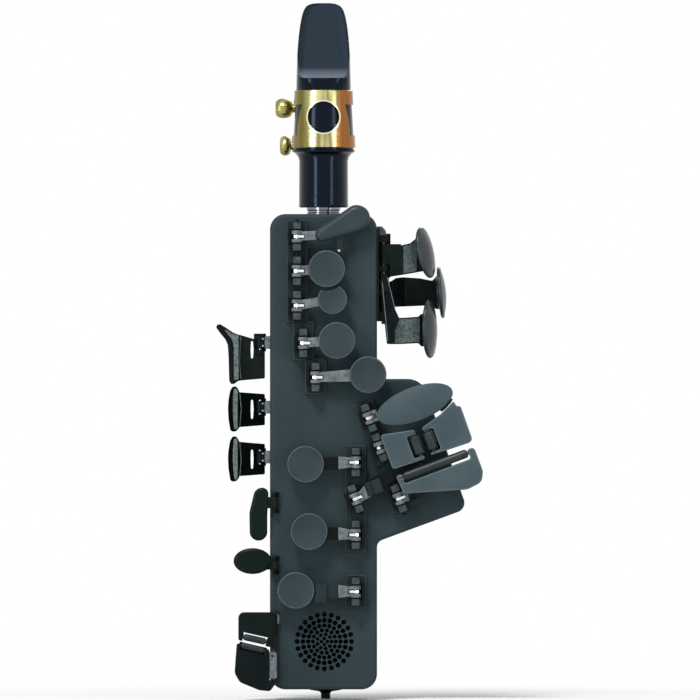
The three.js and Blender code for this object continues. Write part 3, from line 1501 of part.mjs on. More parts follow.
function forkFSharpKey() {
  const corners = forkPadShares.map((corner) => corner.map((share) => share * forkPadReach));
  const reach = (forkPadShares[0][0] + forkPadShares[1][0]) / 2;
  return trillKey(trillKeys[0], roundedOutline(corners, trill.padSteps), reach * forkPadReach);
}

function highFSharpKey() {
  const [x, y] = [ovalPad.placeShares[0] * bodyWidth, ovalPad.placeShares[1] * bodyHeight];
  return trillKey(trillKeys[1], ellipseOutline(x, y, ovalPad.halfWidth, ovalPad.halfHeight), x);
}

// Right little finger: two plates with a roller each, hinged on the lower left edge of the face

const pinky = {
  rodShare: -0.469,
  rodHeight: 3.2,
  baseThickness: 1,
  baseIn: 2.6,
  baseOut: 1.4,
  postHalf: 1.2,
  postTop: 1.1,
  hubRadius: 1.9,
  plateLow: 1.4,
  plateHigh: 3.6,
  edge: 0.5,
  stripHalf: 1.7,
  stripTop: 2.6,
};
const pinkyReach = bodyHeight * 0.0813;
const pinkyRoller = { radius: 1.5, length: pinkyReach * 0.5977, endGap: 0.4, sideGap: 0.5, height: 2.4 };
const pinkyX = bodyWidth * pinky.rodShare;
const eFlatPlate = {
  name: "e_flat_key",
  rollerName: "pinky_roller_upper",
  hubShare: 0.1379,
  hubLength: pinkyReach * 0.46,
  corners: [[-0.902, 0.31, 2.6], [-0.902, -0.414, 0.9], [0.034, -0.62, 0.9], [0.034, 0.31, 0.9]],
  rollerShares: [-0.477, -0.391],
  rollerTilt: -12.5 * degree,
  opensUp: false,
};
const lowCPlate = {
  name: "low_c_key",
  rollerName: "pinky_roller_lower",
  hubShare: 0.0509,
  hubLength: pinkyReach * 0.678,
  corners: [
    [-0.943, 0.586, 1],
    [-1, -0.19, 2.6],
    [-0.868, -0.42, 2],
    [-0.362, -0.638, 2],
    [-0.08, -0.667, 1.6],
    [0.07, -0.46, 1],
    [-0.098, -0.37, 0.9],
    [-0.098, 0.414, 0.9],
  ],
  rollerShares: [-0.529, 0.454],
  rollerTilt: -13.3 * degree,
  opensUp: true,
  strip: true,
};
const pinkyPostShares = [[0.0145, 0.0215], [0.0822, 0.1155], [0.1583, 0.167]];

function pinkyBracket() {
  const low = bodyHeight * pinkyPostShares[0][0];
  const high = bodyHeight * pinkyPostShares[2][1];
  const base = block(pinkyX - pinky.baseOut, pinkyX + pinky.baseIn, low, high, 0, pinky.baseThickness);
  const posts = pinkyPostShares.map(([from, to]) =>
    block(
      pinkyX - pinky.postHalf, pinkyX + pinky.postHalf, bodyHeight * from, bodyHeight * to,
      pinky.baseThickness - seatGap, pinky.rodHeight + pinky.postTop,
    ),
  );
  const pin = rodAlongY(rodRadius, pinkyX, pinky.rodHeight, low + seatGap, high - seatGap);
  return piece("pinky_bracket", join(base, posts, pin), "black");
}

function pinkyKey(key) {
  const corners = key.corners.map(([x, y, radius]) => [x * pinkyReach, y * pinkyReach, radius]);
  const [x, y] = key.rollerShares.map((share) => share * pinkyReach);
  const along = new THREE.Matrix4()
    .makeTranslation(x, y, 0)
    .multiply(new THREE.Matrix4().makeRotationZ(key.rollerTilt + Math.PI / 2));
  const half = pinkyRoller.length / 2 + pinkyRoller.endGap;
  const shut = pinkyRoller.radius + pinkyRoller.sideGap;
  const span = key.opensUp ? [-shut, pinkyReach] : [-pinkyReach, shut];
  const notch = block(...span, -half, half, 0, 2 * pinky.plateHigh, along);
  const pin = rodAlongY(axleRadius, 0, pinkyRoller.height, -half - pinSeat, half + pinSeat, smallSides, along);
  const plate = slab(roundedOutline(corners), pinky.plateLow, pinky.plateHigh, pinky.edge).subtract(notch).add(pin);
  const parts = [hub(key.hubLength, pinky.hubRadius), plate];
  if (key.strip) {
    const halfStrip = key.hubLength / 2;
    parts.push(block(-pinky.stripHalf - overrun, pinky.stripHalf, -halfStrip, halfStrip, 0, pinky.stripTop));
  }
  const group = new THREE.Group();
  group.add(piece(key.name, bored(join(parts), key.hubLength), "black"));
  const wheel = roller(key.rollerName, pinkyRoller.length, pinkyRoller.radius);
  wheel.rotation.z = key.rollerTilt + Math.PI / 2;
  group.add(placed(wheel, x, y, pinkyRoller.height));
  return placed(group, pinkyX, bodyHeight * key.hubShare, pinky.rodHeight);
}

// Back of the case: thumb rest with the octave key, thumb hook and strap ring. Heights count from the back face.

const rest = {
  lowShare: 0.79,
  highShare: 0.972,
  halfWidth: 9.5,
  thickness: 1.4,
  corner: 3,
  discShare: 0.826,
  discRadius: 8,
  discThickness: 2.6,
  hingeShare: 0.951,
  hingeHeight: 4.6,
  postInner: 4.6,
  postOuter: 7.2,
  postHalf: 2,
  postTop: 6.6,
};
const octave = {
  hubHalf: 4.3,
  hubRadius: 2.2,
  halfWidth: 3.6,
  thickness: 2,
  padReach: bodyHeight * 0.0822,
  padHalf: bodyHeight * 0.0327,
  padWidth: 7.4,
};
const octavePathShares = [[0, 0], [-0.34, 0.07], [-0.62, 0.12]];

function thumbRest() {
  const [low, high] = [bodyHeight * rest.lowShare, bodyHeight * rest.highShare];
  const base = slab(boxOutline(-rest.halfWidth, rest.halfWidth, low, high, rest.corner), 0, rest.thickness);
  const disc = touchDisc(0, bodyHeight * rest.discShare, rest.thickness - seatGap, rest.discRadius, rest.discThickness);
  const hinge = bodyHeight * rest.hingeShare;
  const posts = [-1, 1].map((side) => {
    const [x0, x1] = [side * rest.postInner, side * rest.postOuter].sort((p, q) => p - q);
    return block(x0, x1, hinge - rest.postHalf, hinge + rest.postHalf, rest.thickness - seatGap, rest.postTop);
  });
  const pin = rodAlongX(rodRadius, hinge, rest.hingeHeight, -rest.postOuter + seatGap, rest.postOuter - seatGap);
  return piece("thumb_rest", join(base, disc, posts, pin), "black");
}

function octaveKey() {
  const path = octavePathShares.map(([y, z]) => [y * octave.padReach, z * octave.padReach]);
  const arm = strapAcross(path, octave.thickness, octave.halfWidth);
  const centre = -octave.padReach + octave.padHalf;
  const outline = boxOutline(
    -octave.padWidth, octave.padWidth, centre - octave.padHalf, centre + octave.padHalf / 2, octave.padHalf / 2,
  );
  const lift = path[2][1] - octave.thickness / 2;
  const pad = slab(outline, lift, lift + octave.thickness + gap, octave.thickness / 3);
  const barrel = rodAlongX(octave.hubRadius, 0, 0, -octave.hubHalf, octave.hubHalf);
  const bore = rodAlongX(rodRadius + boreClearance, 0, 0, -bodyWidth, bodyWidth);
  const mesh = piece("octave_key", join(barrel, arm, pad).subtract(bore), "black");
  return placed(mesh, 0, bodyHeight * rest.hingeShare, rest.hingeHeight);
}

// A strap whose path lies in y and z, wide along x
function strapAcross(path, thickness, halfWidth) {
  const points = path.map(([y, z]) => new THREE.Vector2(y, z));
  const rise = points.map((point, index) => {
    const before = points[Math.max(index - 1, 0)];
    const after = points[Math.min(index + 1, points.length - 1)];
    const heading = after.clone().sub(before).normalize();
    return new THREE.Vector2(-heading.y, heading.x).multiplyScalar(thickness / 2);
  });
  const outer = points.map((point, index) => point.clone().add(rise[index]));
  const inner = points.map((point, index) => point.clone().sub(rise[index])).reverse();
  const shape = new THREE.Shape([...outer, ...inner]);
  const geometry = new THREE.ExtrudeGeometry(shape, { depth: 2 * halfWidth, bevelEnabled: false });
  const turn = new THREE.Matrix4().makeBasis(
    new THREE.Vector3(0, 1, 0), new THREE.Vector3(0, 0, 1), new THREE.Vector3(1, 0, 0),
  );
  return solidFrom(geometry.applyMatrix4(turn).translate(-halfWidth, 0, 0));
}

const hook = { heightShare: 0.36, halfWidth: 7, thickness: 2.6, baseUp: 13, baseDown: 15, baseThickness: 1.6, reach: 21 };
const hookPathShares = [[0.14, 0.04], [0.3, 0.42], [0.2, 0.78], [-0.12, 0.96], [-0.45, 1]];

function thumbHook() {
  const centre = bodyHeight * hook.heightShare;
  const outline = boxOutline(-hook.halfWidth, hook.halfWidth, centre - hook.baseDown, centre + hook.baseUp, rest.corner);
  const base = slab(outline, 0, hook.baseThickness);
  const path = hookPathShares.map(([y, z]) => [centre + y * hook.reach, z * hook.reach]);
  const arm = strapAcross(path, hook.thickness, hook.halfWidth);
  const below = block(-bodyWidth, bodyWidth, 0, bodyHeight, -hook.reach, 0);
  return piece("thumb_hook", cut(join(base, arm), below), "black");
}

const ring = { heightShare: 0.7, eyeRadius: 4.5, wire: 1.5, halfWidth: 5, halfHeight: 11, baseThickness: 1.6, sink: 0.8 };
const ringHeight = bodyHeight * ring.heightShare;
const ringStandOff = ring.baseThickness + ring.eyeRadius + 2 * ring.wire - ring.sink;

function strapRing() {
  const outline = boxOutline(
    -ring.halfWidth, ring.halfWidth, ringHeight - ring.halfHeight, ringHeight + ring.halfHeight, ring.halfWidth,
  );
  const base = slab(outline, 0, ring.baseThickness);
  const torus = new THREE.TorusGeometry(ring.eyeRadius + ring.wire, ring.wire, smallSides, roundSides);
  const loop = solidFrom(torus.rotateY(Math.PI / 2).translate(0, ringHeight, ringStandOff));
  const below = block(-bodyWidth, bodyWidth, 0, bodyHeight, -bodyDepth, 0);
  return piece("strap_ring", cut(join(base, loop), below), "steel");
}

// The instrument in its panel frame

function assembly() {
  const tableTop = new THREE.Group();
  tableTop.add(tableRail(), tableRod(), bFlatBracket(), gSharpKey(), cSharpKey(), lowBKey(), bFlatKey());
  tableTop.position.set(tableX, tableY, 0);
  tableTop.rotation.z = tableTilt;

  const onFace = new THREE.Group();
  onFace.add(leftStackRail(), leftStackRod(), rightStackRail(), rightDBracket(), pinkyBracket(), tableTop);
  onFace.add(frontFKey(), bisKey(), ...leftTouches.map(leftKey), ...rightTouches.map(rightKey));
  onFace.add(pinkyKey(eFlatPlate), pinkyKey(lowCPlate));
  onFace.position.z = face;

  const onBack = new THREE.Group();
  onBack.add(thumbRest(), octaveKey(), thumbHook(), strapRing());
  onBack.position.z = -face;
  onBack.rotation.y = Math.PI;

  const instrument = new THREE.Group();
  instrument.add(frontCover(), backCover(), leftKeyFrame(), palmRail(), palmRod());
  instrument.add(mouthpiece(), reed(), ligatureBand(), ligatureScrew("upper"), ligatureScrew("lower"));
  instrument.add(neckTenon(), tenonCork(), drainSpout(), airTube(), breathSensor(), mainBoard());
  instrument.add(speakerDriver(), battery(), usbSocket(), powerButton(), onFace, onBack);
  instrument.add(...palmKeys.map(palmKey), ...sideKeys.map(sideKey), forkFSharpKey(), highFSharpKey());
  instrument.rotation.x = Math.PI / 2;
  instrument.position.set(0, -face - ringStandOff, -ringHeight);
  return instrument;
}

const digitalWindController = new THREE.Group();
digitalWindController.add(assembly());

export default digitalWindController;
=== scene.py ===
"""Looks of the digital wind controller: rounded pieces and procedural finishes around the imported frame."""
import json
import math

import bpy
from mathutils import Matrix, Vector


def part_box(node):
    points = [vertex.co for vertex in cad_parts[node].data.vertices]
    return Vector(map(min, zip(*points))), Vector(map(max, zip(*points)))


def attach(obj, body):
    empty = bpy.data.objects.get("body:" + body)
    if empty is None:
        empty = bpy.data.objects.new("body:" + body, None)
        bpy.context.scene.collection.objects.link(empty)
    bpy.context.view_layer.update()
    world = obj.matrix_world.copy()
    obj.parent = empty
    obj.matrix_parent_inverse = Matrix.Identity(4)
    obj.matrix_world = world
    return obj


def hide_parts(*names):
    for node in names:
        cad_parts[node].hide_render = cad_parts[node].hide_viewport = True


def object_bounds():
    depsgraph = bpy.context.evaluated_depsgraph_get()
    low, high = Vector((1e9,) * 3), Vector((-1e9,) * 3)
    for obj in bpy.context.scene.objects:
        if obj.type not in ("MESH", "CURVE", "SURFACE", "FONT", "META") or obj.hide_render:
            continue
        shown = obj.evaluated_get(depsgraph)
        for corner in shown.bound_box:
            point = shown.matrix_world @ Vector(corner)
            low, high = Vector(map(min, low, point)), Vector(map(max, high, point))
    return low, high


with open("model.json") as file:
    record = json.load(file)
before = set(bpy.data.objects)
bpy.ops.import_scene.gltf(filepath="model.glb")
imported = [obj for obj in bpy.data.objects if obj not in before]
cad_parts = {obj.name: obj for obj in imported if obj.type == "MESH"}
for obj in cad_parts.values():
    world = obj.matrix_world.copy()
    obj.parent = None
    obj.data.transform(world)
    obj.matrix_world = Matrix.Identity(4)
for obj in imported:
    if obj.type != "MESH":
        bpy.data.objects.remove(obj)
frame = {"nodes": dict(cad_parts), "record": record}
cad_low, cad_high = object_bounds()

MM = 0.001
RECORD = frame["record"]
BODY_OF = {node: body for body, nodes in RECORD["behaviour"]["bodies"].items() for node in nodes}

# Driving sizes, in millimetres, read from the frame
front_low, front_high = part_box("front_cover")
_, back_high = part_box("back_cover")
body_width = -2 * front_low.x / MM
body_height = (front_high.z - front_low.z) / MM
body_depth = (back_high.y - front_low.y) / MM
side = body_width / 2
face = body_depth / 2

# The panel frame: x to the right, y up the instrument, z out of the front face, from the foot of the case
PANEL = (
    Matrix.Translation((0, front_low.y + face * MM, front_low.z))
    @ Matrix.Rotation(math.pi / 2, 4, "X")
    @ Matrix.Diagonal((MM, MM, MM, 1))
)
FACE = PANEL @ Matrix.Translation((0, 0, face))
BACK = PANEL @ Matrix.Translation((0, 0, -face)) @ Matrix.Rotation(math.pi, 4, "Y")

# Sizes that many pieces share
wall = 2.2
cover_edge = 1.6
gap = 0.3
overrun = 1
rod_radius = 0.8
bore_clearance = 0.25
hub_radius = 2.4
hub_length = body_height * 0.02477
post_width = 4.3
post_length = body_height * 0.01776
post_rise = 1.9
rod_height = 5.6
rail_thickness = 1.4
lever_thickness = 2.4
lever_width = 4.2
touch_radius = body_height * 0.039
touch_thickness = 3.2
touch_dish = 1
soft = 0.35
eased = 0.3
crisp = 0.25
fine = 0.2
keen = 0.1
sharp = 0.01
lever_top = lever_thickness / 2
touch_edge = 0.8
touch_seat = lever_top - touch_edge

# Turns the panel's x and y into y and z
UPRIGHT = Matrix(((0, 0, 1, 0), (1, 0, 0, 0), (0, 1, 0, 0), (0, 0, 0, 1)))

# Counts of facets
round_sides = 72
small_sides = 28
corner_steps = 7
rim_steps = 4
wire_sides = 8
lens_steps = 10
curve_steps = 8
round_steps = 12
torus_sides, torus_steps = 20, 56
pin_sides = 20


# Meshes of closed solids, in millimetres

def mesh_of(vertices, faces, marks=None):
    """A mesh; the marks say how much each vertex lies on a rim where a highlight is painted."""
    mesh = bpy.data.meshes.new("solid")
    mesh.from_pydata([tuple(vertex) for vertex in vertices], [], faces)
    mesh.update()
    rims = mesh.attributes.new("rim", "FLOAT", "POINT")
    if marks:
        rims.data.foreach_set("value", marks)
    return mesh


def moved(mesh, matrix):
    mesh.transform(matrix)
    if matrix.determinant() < 0:
        mesh.flip_normals()
    return mesh


def shifted(mesh, x, y, z):
    return moved(mesh, Matrix.Translation((x, y, z)))


def turned_about(mesh, angle, axis):
    return moved(mesh, Matrix.Rotation(angle, 4, axis))


def boolean(mesh, tools, operation):
    scene = bpy.context.scene
    base = bpy.data.objects.new("base", mesh)
    scene.collection.objects.link(base)
    operands = []
    for tool in tools:
        operand = bpy.data.objects.new("tool", tool)
        scene.collection.objects.link(operand)
        modifier = base.modifiers.new("boolean", "BOOLEAN")
        modifier.solver = "MANIFOLD"
        modifier.operation = operation
        modifier.object = operand
        operands.append(operand)
    graph = bpy.context.evaluated_depsgraph_get()
    result = bpy.data.meshes.new_from_object(base.evaluated_get(graph))
    for thing in [base, *operands]:
        bpy.data.objects.remove(thing)
    return result


def join(*meshes):
    return boolean(meshes[0], meshes[1:], "UNION") if len(meshes) > 1 else meshes[0]


def cut(mesh, *tools):
    return boolean(mesh, tools, "DIFFERENCE")


def shared(mesh, tool):
    return boolean(mesh, [tool], "INTERSECT")


def merged(*meshes):
    """Several separate solids in one mesh, without a boolean."""
    vertices, faces, marks = [], [], []
    for mesh in meshes:
        start = len(vertices)
        vertices += [vertex.co.copy() for vertex in mesh.vertices]
        faces += [[start + index for index in polygon.vertices] for polygon in mesh.polygons]
        rims = mesh.attributes.get("rim")
        marks += [mark.value for mark in rims.data] if rims else [0] * len(mesh.vertices)
    return mesh_of(vertices, faces, marks)


# Outlines in the panel plane, counter-clockwise

def rounded(corners, steps=corner_steps):
    """The outline through corners of x, y and radius, each turned into an arc."""
    points = []
    for index, (x, y, radius) in enumerate(corners):
        here = Vector((x, y))
        back = Vector(corners[index - 1][:2]) - here
        ahead = Vector(corners[(index + 1) % len(corners)][:2]) - here
        half = back.angle(ahead) / 2
        set_back = min(radius / math.tan(half), min(back.length, ahead.length) / 2)
        middle = back.normalized() + ahead.normalized()
        if set_back < 0.004 or middle.length < 0.01:
            points.append(here)
            continue
        centre = here + middle.normalized() * set_back / math.cos(half)
        start = here + back.normalized() * set_back - centre
        turn = math.copysign(math.pi - 2 * half, ahead.cross(back))
        for step in range(steps + 1):
            angle = turn * step / steps
            cos, sin = math.cos(angle), math.sin(angle)
            points.append(centre + Vector((start.x * cos - start.y * sin, start.x * sin + start.y * cos)))
    return [point for index, point in enumerate(points) if (point - points[index - 1]).length > 0.004]


def ordered(outline):
    """The outline, turned counter-clockwise."""
    area = sum(p.x * q.y - q.x * p.y for p, q in zip(outline, outline[1:] + outline[:1]))
    return outline if area > 0 else outline[::-1]


def capsule(x0, y0, r0, x1, y1, r1, steps=20):
    along = math.atan2(y1 - y0, x1 - x0)
    spread = math.acos((r0 - r1) / math.hypot(x1 - x0, y1 - y0))
    points = []
    for step in range(steps + 1):
        angle = along - spread + 2 * spread * step / steps
        points.append(Vector((x1 + r1 * math.cos(angle), y1 + r1 * math.sin(angle))))
    for step in range(steps + 1):
        angle = along + spread + 2 * (math.pi - spread) * step / steps
        points.append(Vector((x0 + r0 * math.cos(angle), y0 + r0 * math.sin(angle))))
    return points


def ellipse(x, y, half_width, half_height):
    angles = [2 * math.pi * step / round_sides for step in range(round_sides)]
    return [Vector((x + half_width * math.cos(a), y + half_height * math.sin(a))) for a in angles]


def box_outline(x0, x1, y0, y1, radius, steps=corner_steps):
    return rounded([(x0, y0, radius), (x1, y0, radius), (x1, y1, radius), (x0, y1, radius)], steps)


def inset(points, distance):
    result = []
    for index, here in enumerate(points):
        incoming = (here - points[index - 1]).normalized()
        outgoing = (points[(index + 1) % len(points)] - here).normalized()
        first = Vector((-incoming.y, incoming.x))
        second = Vector((-outgoing.y, outgoing.x))
        result.append(here + (first + second) * distance / (1 + first.dot(second)))
    return result


def sides_of(levels, count, wrapped=False):
    """The faces between rings of count vertices, level by level."""
    faces = []
    for level in range(levels if wrapped else levels - 1):
        below, above = level * count, (level + 1) % levels * count
        for index in range(count):
            after = (index + 1) % count
            faces.append([below + index, below + after, above + after, above + index])
    return faces


def turned_over(faces):
    return [face[:1] + face[:0:-1] for face in faces]


def capped(rings):
    """A solid between rings of vertices that climb, closed by its first and last ring."""
    count = len(rings[0])
    vertices = [point for ring in rings for point in ring]
    ends = [list(range(count))[::-1], list(range(len(vertices) - count, len(vertices)))]
    return vertices, ends + sides_of(len(rings), count)


def slab(outline, z0, z1, low=soft, high=None, steps=rim_steps, margin=0):
    """A plate whose two rims are rounded by low and high; a margin adds a ring inside the upper one."""
    high = low if high is None else high
    rings = [(0, z0)] if low == 0 else []
    quarters = [math.pi / 2 * step / steps for step in range(steps + 1)]
    if low > 0:
        rings += [(low * (1 - math.sin(a)), z0 + low * (1 - math.cos(a))) for a in quarters]
    if high > 0:
        rings += [(high * (1 - math.cos(a)), z1 - high * (1 - math.sin(a))) for a in quarters]
    else:
        rings.append((0, z1))
    marked = len(rings) - 1
    if margin > 0:
        rings.append((high + margin, z1))
    vertices, faces = capped([[(p.x, p.y, z) for p in inset(outline, distance)] for distance, z in rings])
    # With a margin, the ring where the upper rim meets the top is marked for a painted highlight
    marks = [float(margin > 0 and index // len(outline) == marked) for index in range(len(vertices))]
    return mesh_of(vertices, faces, marks)


def revolve(profile, sides=round_sides):
    """A solid of revolution about z: the profile climbs from the axis back to it, or closes on itself."""
    vertices, rings = [], []
    for radius, height in profile:
        start = len(vertices)
        if radius == 0:
            vertices.append((0, 0, height))
            rings.append([start] * sides)
            continue
        for index in range(sides):
            angle = 2 * math.pi * index / sides
            vertices.append((radius * math.cos(angle), radius * math.sin(angle), height))
        rings.append(list(range(start, start + sides)))
    pairs = list(zip(rings, rings[1:]))
    if profile[0][0] > 0:
        pairs.append((rings[-1], rings[0]))
    faces = []
    for below, above in pairs:
        for index in range(sides):
            after = (index + 1) % sides
            corners = [below[index], below[after], above[after], above[index]]
            faces.append(list(dict.fromkeys(corners)))
    return mesh_of(vertices, faces)


def barrel(radius, low, high, sides=small_sides, edge=fine):
    """A short cylinder about z with softened rims."""
    inner = radius - edge
    profile = [(0, low), (inner, low), (radius, low + edge), (radius, high - edge), (inner, high), (0, high)]
    return revolve(profile, sides)


def along_y(mesh):
    return turned_about(mesh, -math.pi / 2, "X")


def along_x(mesh):
    return turned_about(mesh, math.pi / 2, "Y")


def rod_y(radius, x, z, y0, y1, sides=small_sides, edge=fine):
    return shifted(along_y(barrel(radius, y0, y1, sides, edge)), x, 0, z)


def rod_x(radius, y, z, x0, x1, sides=small_sides, edge=fine):
    return shifted(along_x(barrel(radius, x0, x1, sides, edge)), 0, y, z)


def rod_z(radius, x, y, z0, z1, sides=small_sides, edge=fine):
    return shifted(barrel(radius, z0, z1, sides, edge), x, y, 0)


def hole_y(radius, x, z, y0, y1):
    return rod_y(radius, x, z, y0, y1, round_sides, sharp)


def hole_z(radius, x, y, z0, z1):
    return rod_z(radius, x, y, z0, z1, round_sides, sharp)


def block(x0, x1, y0, y1, z0, z1, edge=fine):
    """A box with softened edges; an edge of nought gives sharp ones."""
    if edge == 0:
        corners = [Vector((x0, y0)), Vector((x1, y0)), Vector((x1, y1)), Vector((x0, y1))]
        return slab(corners, z0, z1, 0)
    return slab(box_outline(x0, x1, y0, y1, edge * 1.5, 3), z0, z1, edge, edge, 2)


def ribbon(path, thickness, bend):
    """The outline of a bent strap of even thickness, with rounded bends."""
    points = [Vector(point) for point in path]
    right, left = [], []
    for index, point in enumerate(points):
        incoming = (point - points[index - 1]).normalized() if index > 0 else None
        outgoing = (points[index + 1] - point).normalized() if index < len(points) - 1 else None
        heading = ((incoming or outgoing) + (outgoing or incoming)).normalized()
        normal = Vector((-heading.y, heading.x))
        mitre = thickness / 2 / max(heading.dot(incoming or outgoing), 0.5)
        radius = bend if incoming and outgoing else soft
        right.append((*(point - normal * mitre), radius))
        left.append((*(point + normal * mitre), radius))
    return rounded(right + left[::-1], 5)


def both_sides(near, far):
    """The two spans from near to far, below and above nought."""
    return (-far, -near), (near, far)


def strap(path, thickness, y0, y1, bend=1.2, edge=soft):
    """A strap whose path lies in x and z, wide along y."""
    mesh = slab(ribbon(path, thickness, bend), 0, y1 - y0, edge)
    return shifted(turned_about(mesh, math.pi / 2, "X"), 0, y1, 0)


def strap_across(path, thickness, half_width, bend=1.2, edge=soft):
    """A strap whose path lies in y and z, wide along x."""
    return moved(slab(ribbon(path, thickness, bend), -half_width, half_width, edge), UPRIGHT)


def tube(points, radius):
    """A wire of even thickness along points."""
    points = [Vector(point) for point in points]
    rings = []
    normal = (points[1] - points[0]).normalized().orthogonal().normalized()
    for index, point in enumerate(points):
        heading = (points[min(index + 1, len(points) - 1)] - points[max(index - 1, 0)]).normalized()
        normal = (normal - heading * normal.dot(heading)).normalized()
        across = heading.cross(normal)
        angles = [2 * math.pi * step / wire_sides for step in range(wire_sides)]
        rings.append([point + (normal * math.cos(a) + across * math.sin(a)) * radius for a in angles])
    return mesh_of(*capped(rings))


# Finishes

def srgb(red, green, blue):
    def linear(value):
        share = value / 255
        return share / 12.92 if share <= 0.04045 else ((share + 0.055) / 1.055) ** 2.4
    return (linear(red), linear(green), linear(blue), 1)


def link(tree, source, target):
    tree.links.new(source, target)


def noise(tree, scale, detail=3, roughness=0.5, stretch=None):
    """A noise over the object's own place, in cells per metre."""
    place = tree.nodes.new("ShaderNodeTexCoord").outputs["Object"]
    if stretch:
        mapping = tree.nodes.new("ShaderNodeMapping")
        mapping.inputs["Scale"].default_value = stretch
        link(tree, place, mapping.inputs["Vector"])
        place = mapping.outputs["Vector"]
    node = tree.nodes.new("ShaderNodeTexNoise")
    node.inputs["Scale"].default_value = scale
    node.inputs["Detail"].default_value = detail
    node.inputs["Roughness"].default_value = roughness
    link(tree, place, node.inputs["Vector"])
    return node.outputs["Fac"]


def ramp(tree, value, low, high, first, last):
    """Maps a value from low..high to first..last, with clamping."""
    node = tree.nodes.new("ShaderNodeMapRange")
    for name, number in (("From Min", low), ("From Max", high), ("To Min", first), ("To Max", last)):
        node.inputs[name].default_value = number
    link(tree, value, node.inputs["Value"])
    return node.outputs["Result"]


def feed(tree, value, socket):
    """Gives a socket a number or colour, or links another socket to it."""
    if isinstance(value, bpy.types.NodeSocket):
        tree.links.new(value, socket)
    else:
        socket.default_value = value


def reckon(tree, operation, *values):
    """The outcome of a maths node."""
    node = tree.nodes.new("ShaderNodeMath")
    node.operation = operation
    for value, socket in zip(values, node.inputs):
        feed(tree, value, socket)
    return node.outputs[0]


def blend(tree, share, first, last):
    """Goes from the first colour to the last as the share goes from 0 to 1."""
    node = tree.nodes.new("ShaderNodeMix")
    node.data_type = "RGBA"
    for value, name in ((share, "Factor_Float"), (first, "A_Color"), (last, "B_Color")):
        feed(tree, value, next(socket for socket in node.inputs if socket.identifier == name))
    return next(socket for socket in node.outputs if socket.identifier == "Result_Color")


def attribute(tree, name):
    node = tree.nodes.new("ShaderNodeAttribute")
    node.attribute_name = name
    return node.outputs["Fac"]


def rays(tree, *names):
    """One where a ray of the named kinds meets the surface, and nought elsewhere."""
    path = tree.nodes.new("ShaderNodeLightPath")
    found = path.outputs[names[0]]
    for name in names[1:]:
        found = reckon(tree, "MAXIMUM", found, path.outputs[name])
    return found


def mix_shaders(tree, share, first, last):
    node = tree.nodes.new("ShaderNodeMixShader")
    for value, socket in zip((share, first, last), node.inputs):
        feed(tree, value, socket)
    return node.outputs["Shader"]


# How strongly the noises and the painted rim highlights show in a finish
noise_span = (0.3, 0.7)
grain_weight, patch_weight = 0.25, 0.8
rough_spread = 0.06
rim_highlight_amount, rim_highlight_patch_scale = 0.7, 900


def paint_rim_highlight(tree, colour, rim_highlight, amount):
    """Lightens a colour along the marked rims of a piece, unevenly, as a painted highlight of light on the
    rims.
    """
    rims = ramp(tree, attribute(tree, "rim"), 0, 0.8, 0, amount)
    patches = ramp(tree, noise(tree, rim_highlight_patch_scale, 2), 0.3, 0.6, 0.5, 1)
    return blend(tree, reckon(tree, "MULTIPLY", rims, patches), colour, rim_highlight)


def finish_of(
    name, dark, light, rough, patch=45, grain=2600, bump=0.05, metal=0, specular=0.4, stretch=None, rim_highlight=None,
    tint=(1, 1, 1, 1),
):
    """A finish whose colour, roughness and fine grain vary: patches broad, grain fine, and a lighter painted
    highlight along the marked rims.
    """
    material = bpy.data.materials.new(name)
    material.use_nodes = True
    tree = material.node_tree
    shader = tree.nodes["Principled BSDF"]
    shader.inputs["Metallic"].default_value = metal
    shader.inputs["Specular IOR Level"].default_value = specular
    shader.inputs["Specular Tint"].default_value = tint
    broad = noise(tree, patch, 2, 0.5)
    grains = noise(tree, grain, 2, 0.6, stretch)
    tone = reckon(tree, "MULTIPLY_ADD", grains, grain_weight, ramp(tree, broad, *noise_span, 0, patch_weight))
    colour = blend(tree, tone, srgb(*dark), srgb(*light))
    # A lighter colour painted along the marked rims stands for the highlight that light lays on them
    if rim_highlight:
        colour = paint_rim_highlight(tree, colour, srgb(*rim_highlight), rim_highlight_amount)
    link(tree, colour, shader.inputs["Base Color"])
    roughness = ramp(tree, grains, *noise_span, rough - rough_spread, rough + rough_spread)
    link(tree, roughness, shader.inputs["Roughness"])
    bumps = tree.nodes.new("ShaderNodeBump")
    bumps.inputs["Strength"].default_value = 1
    bumps.inputs["Distance"].default_value = bump * MM
    link(tree, grains, bumps.inputs["Height"])
    link(tree, bumps.outputs["Normal"], shader.inputs["Normal"])
    return material
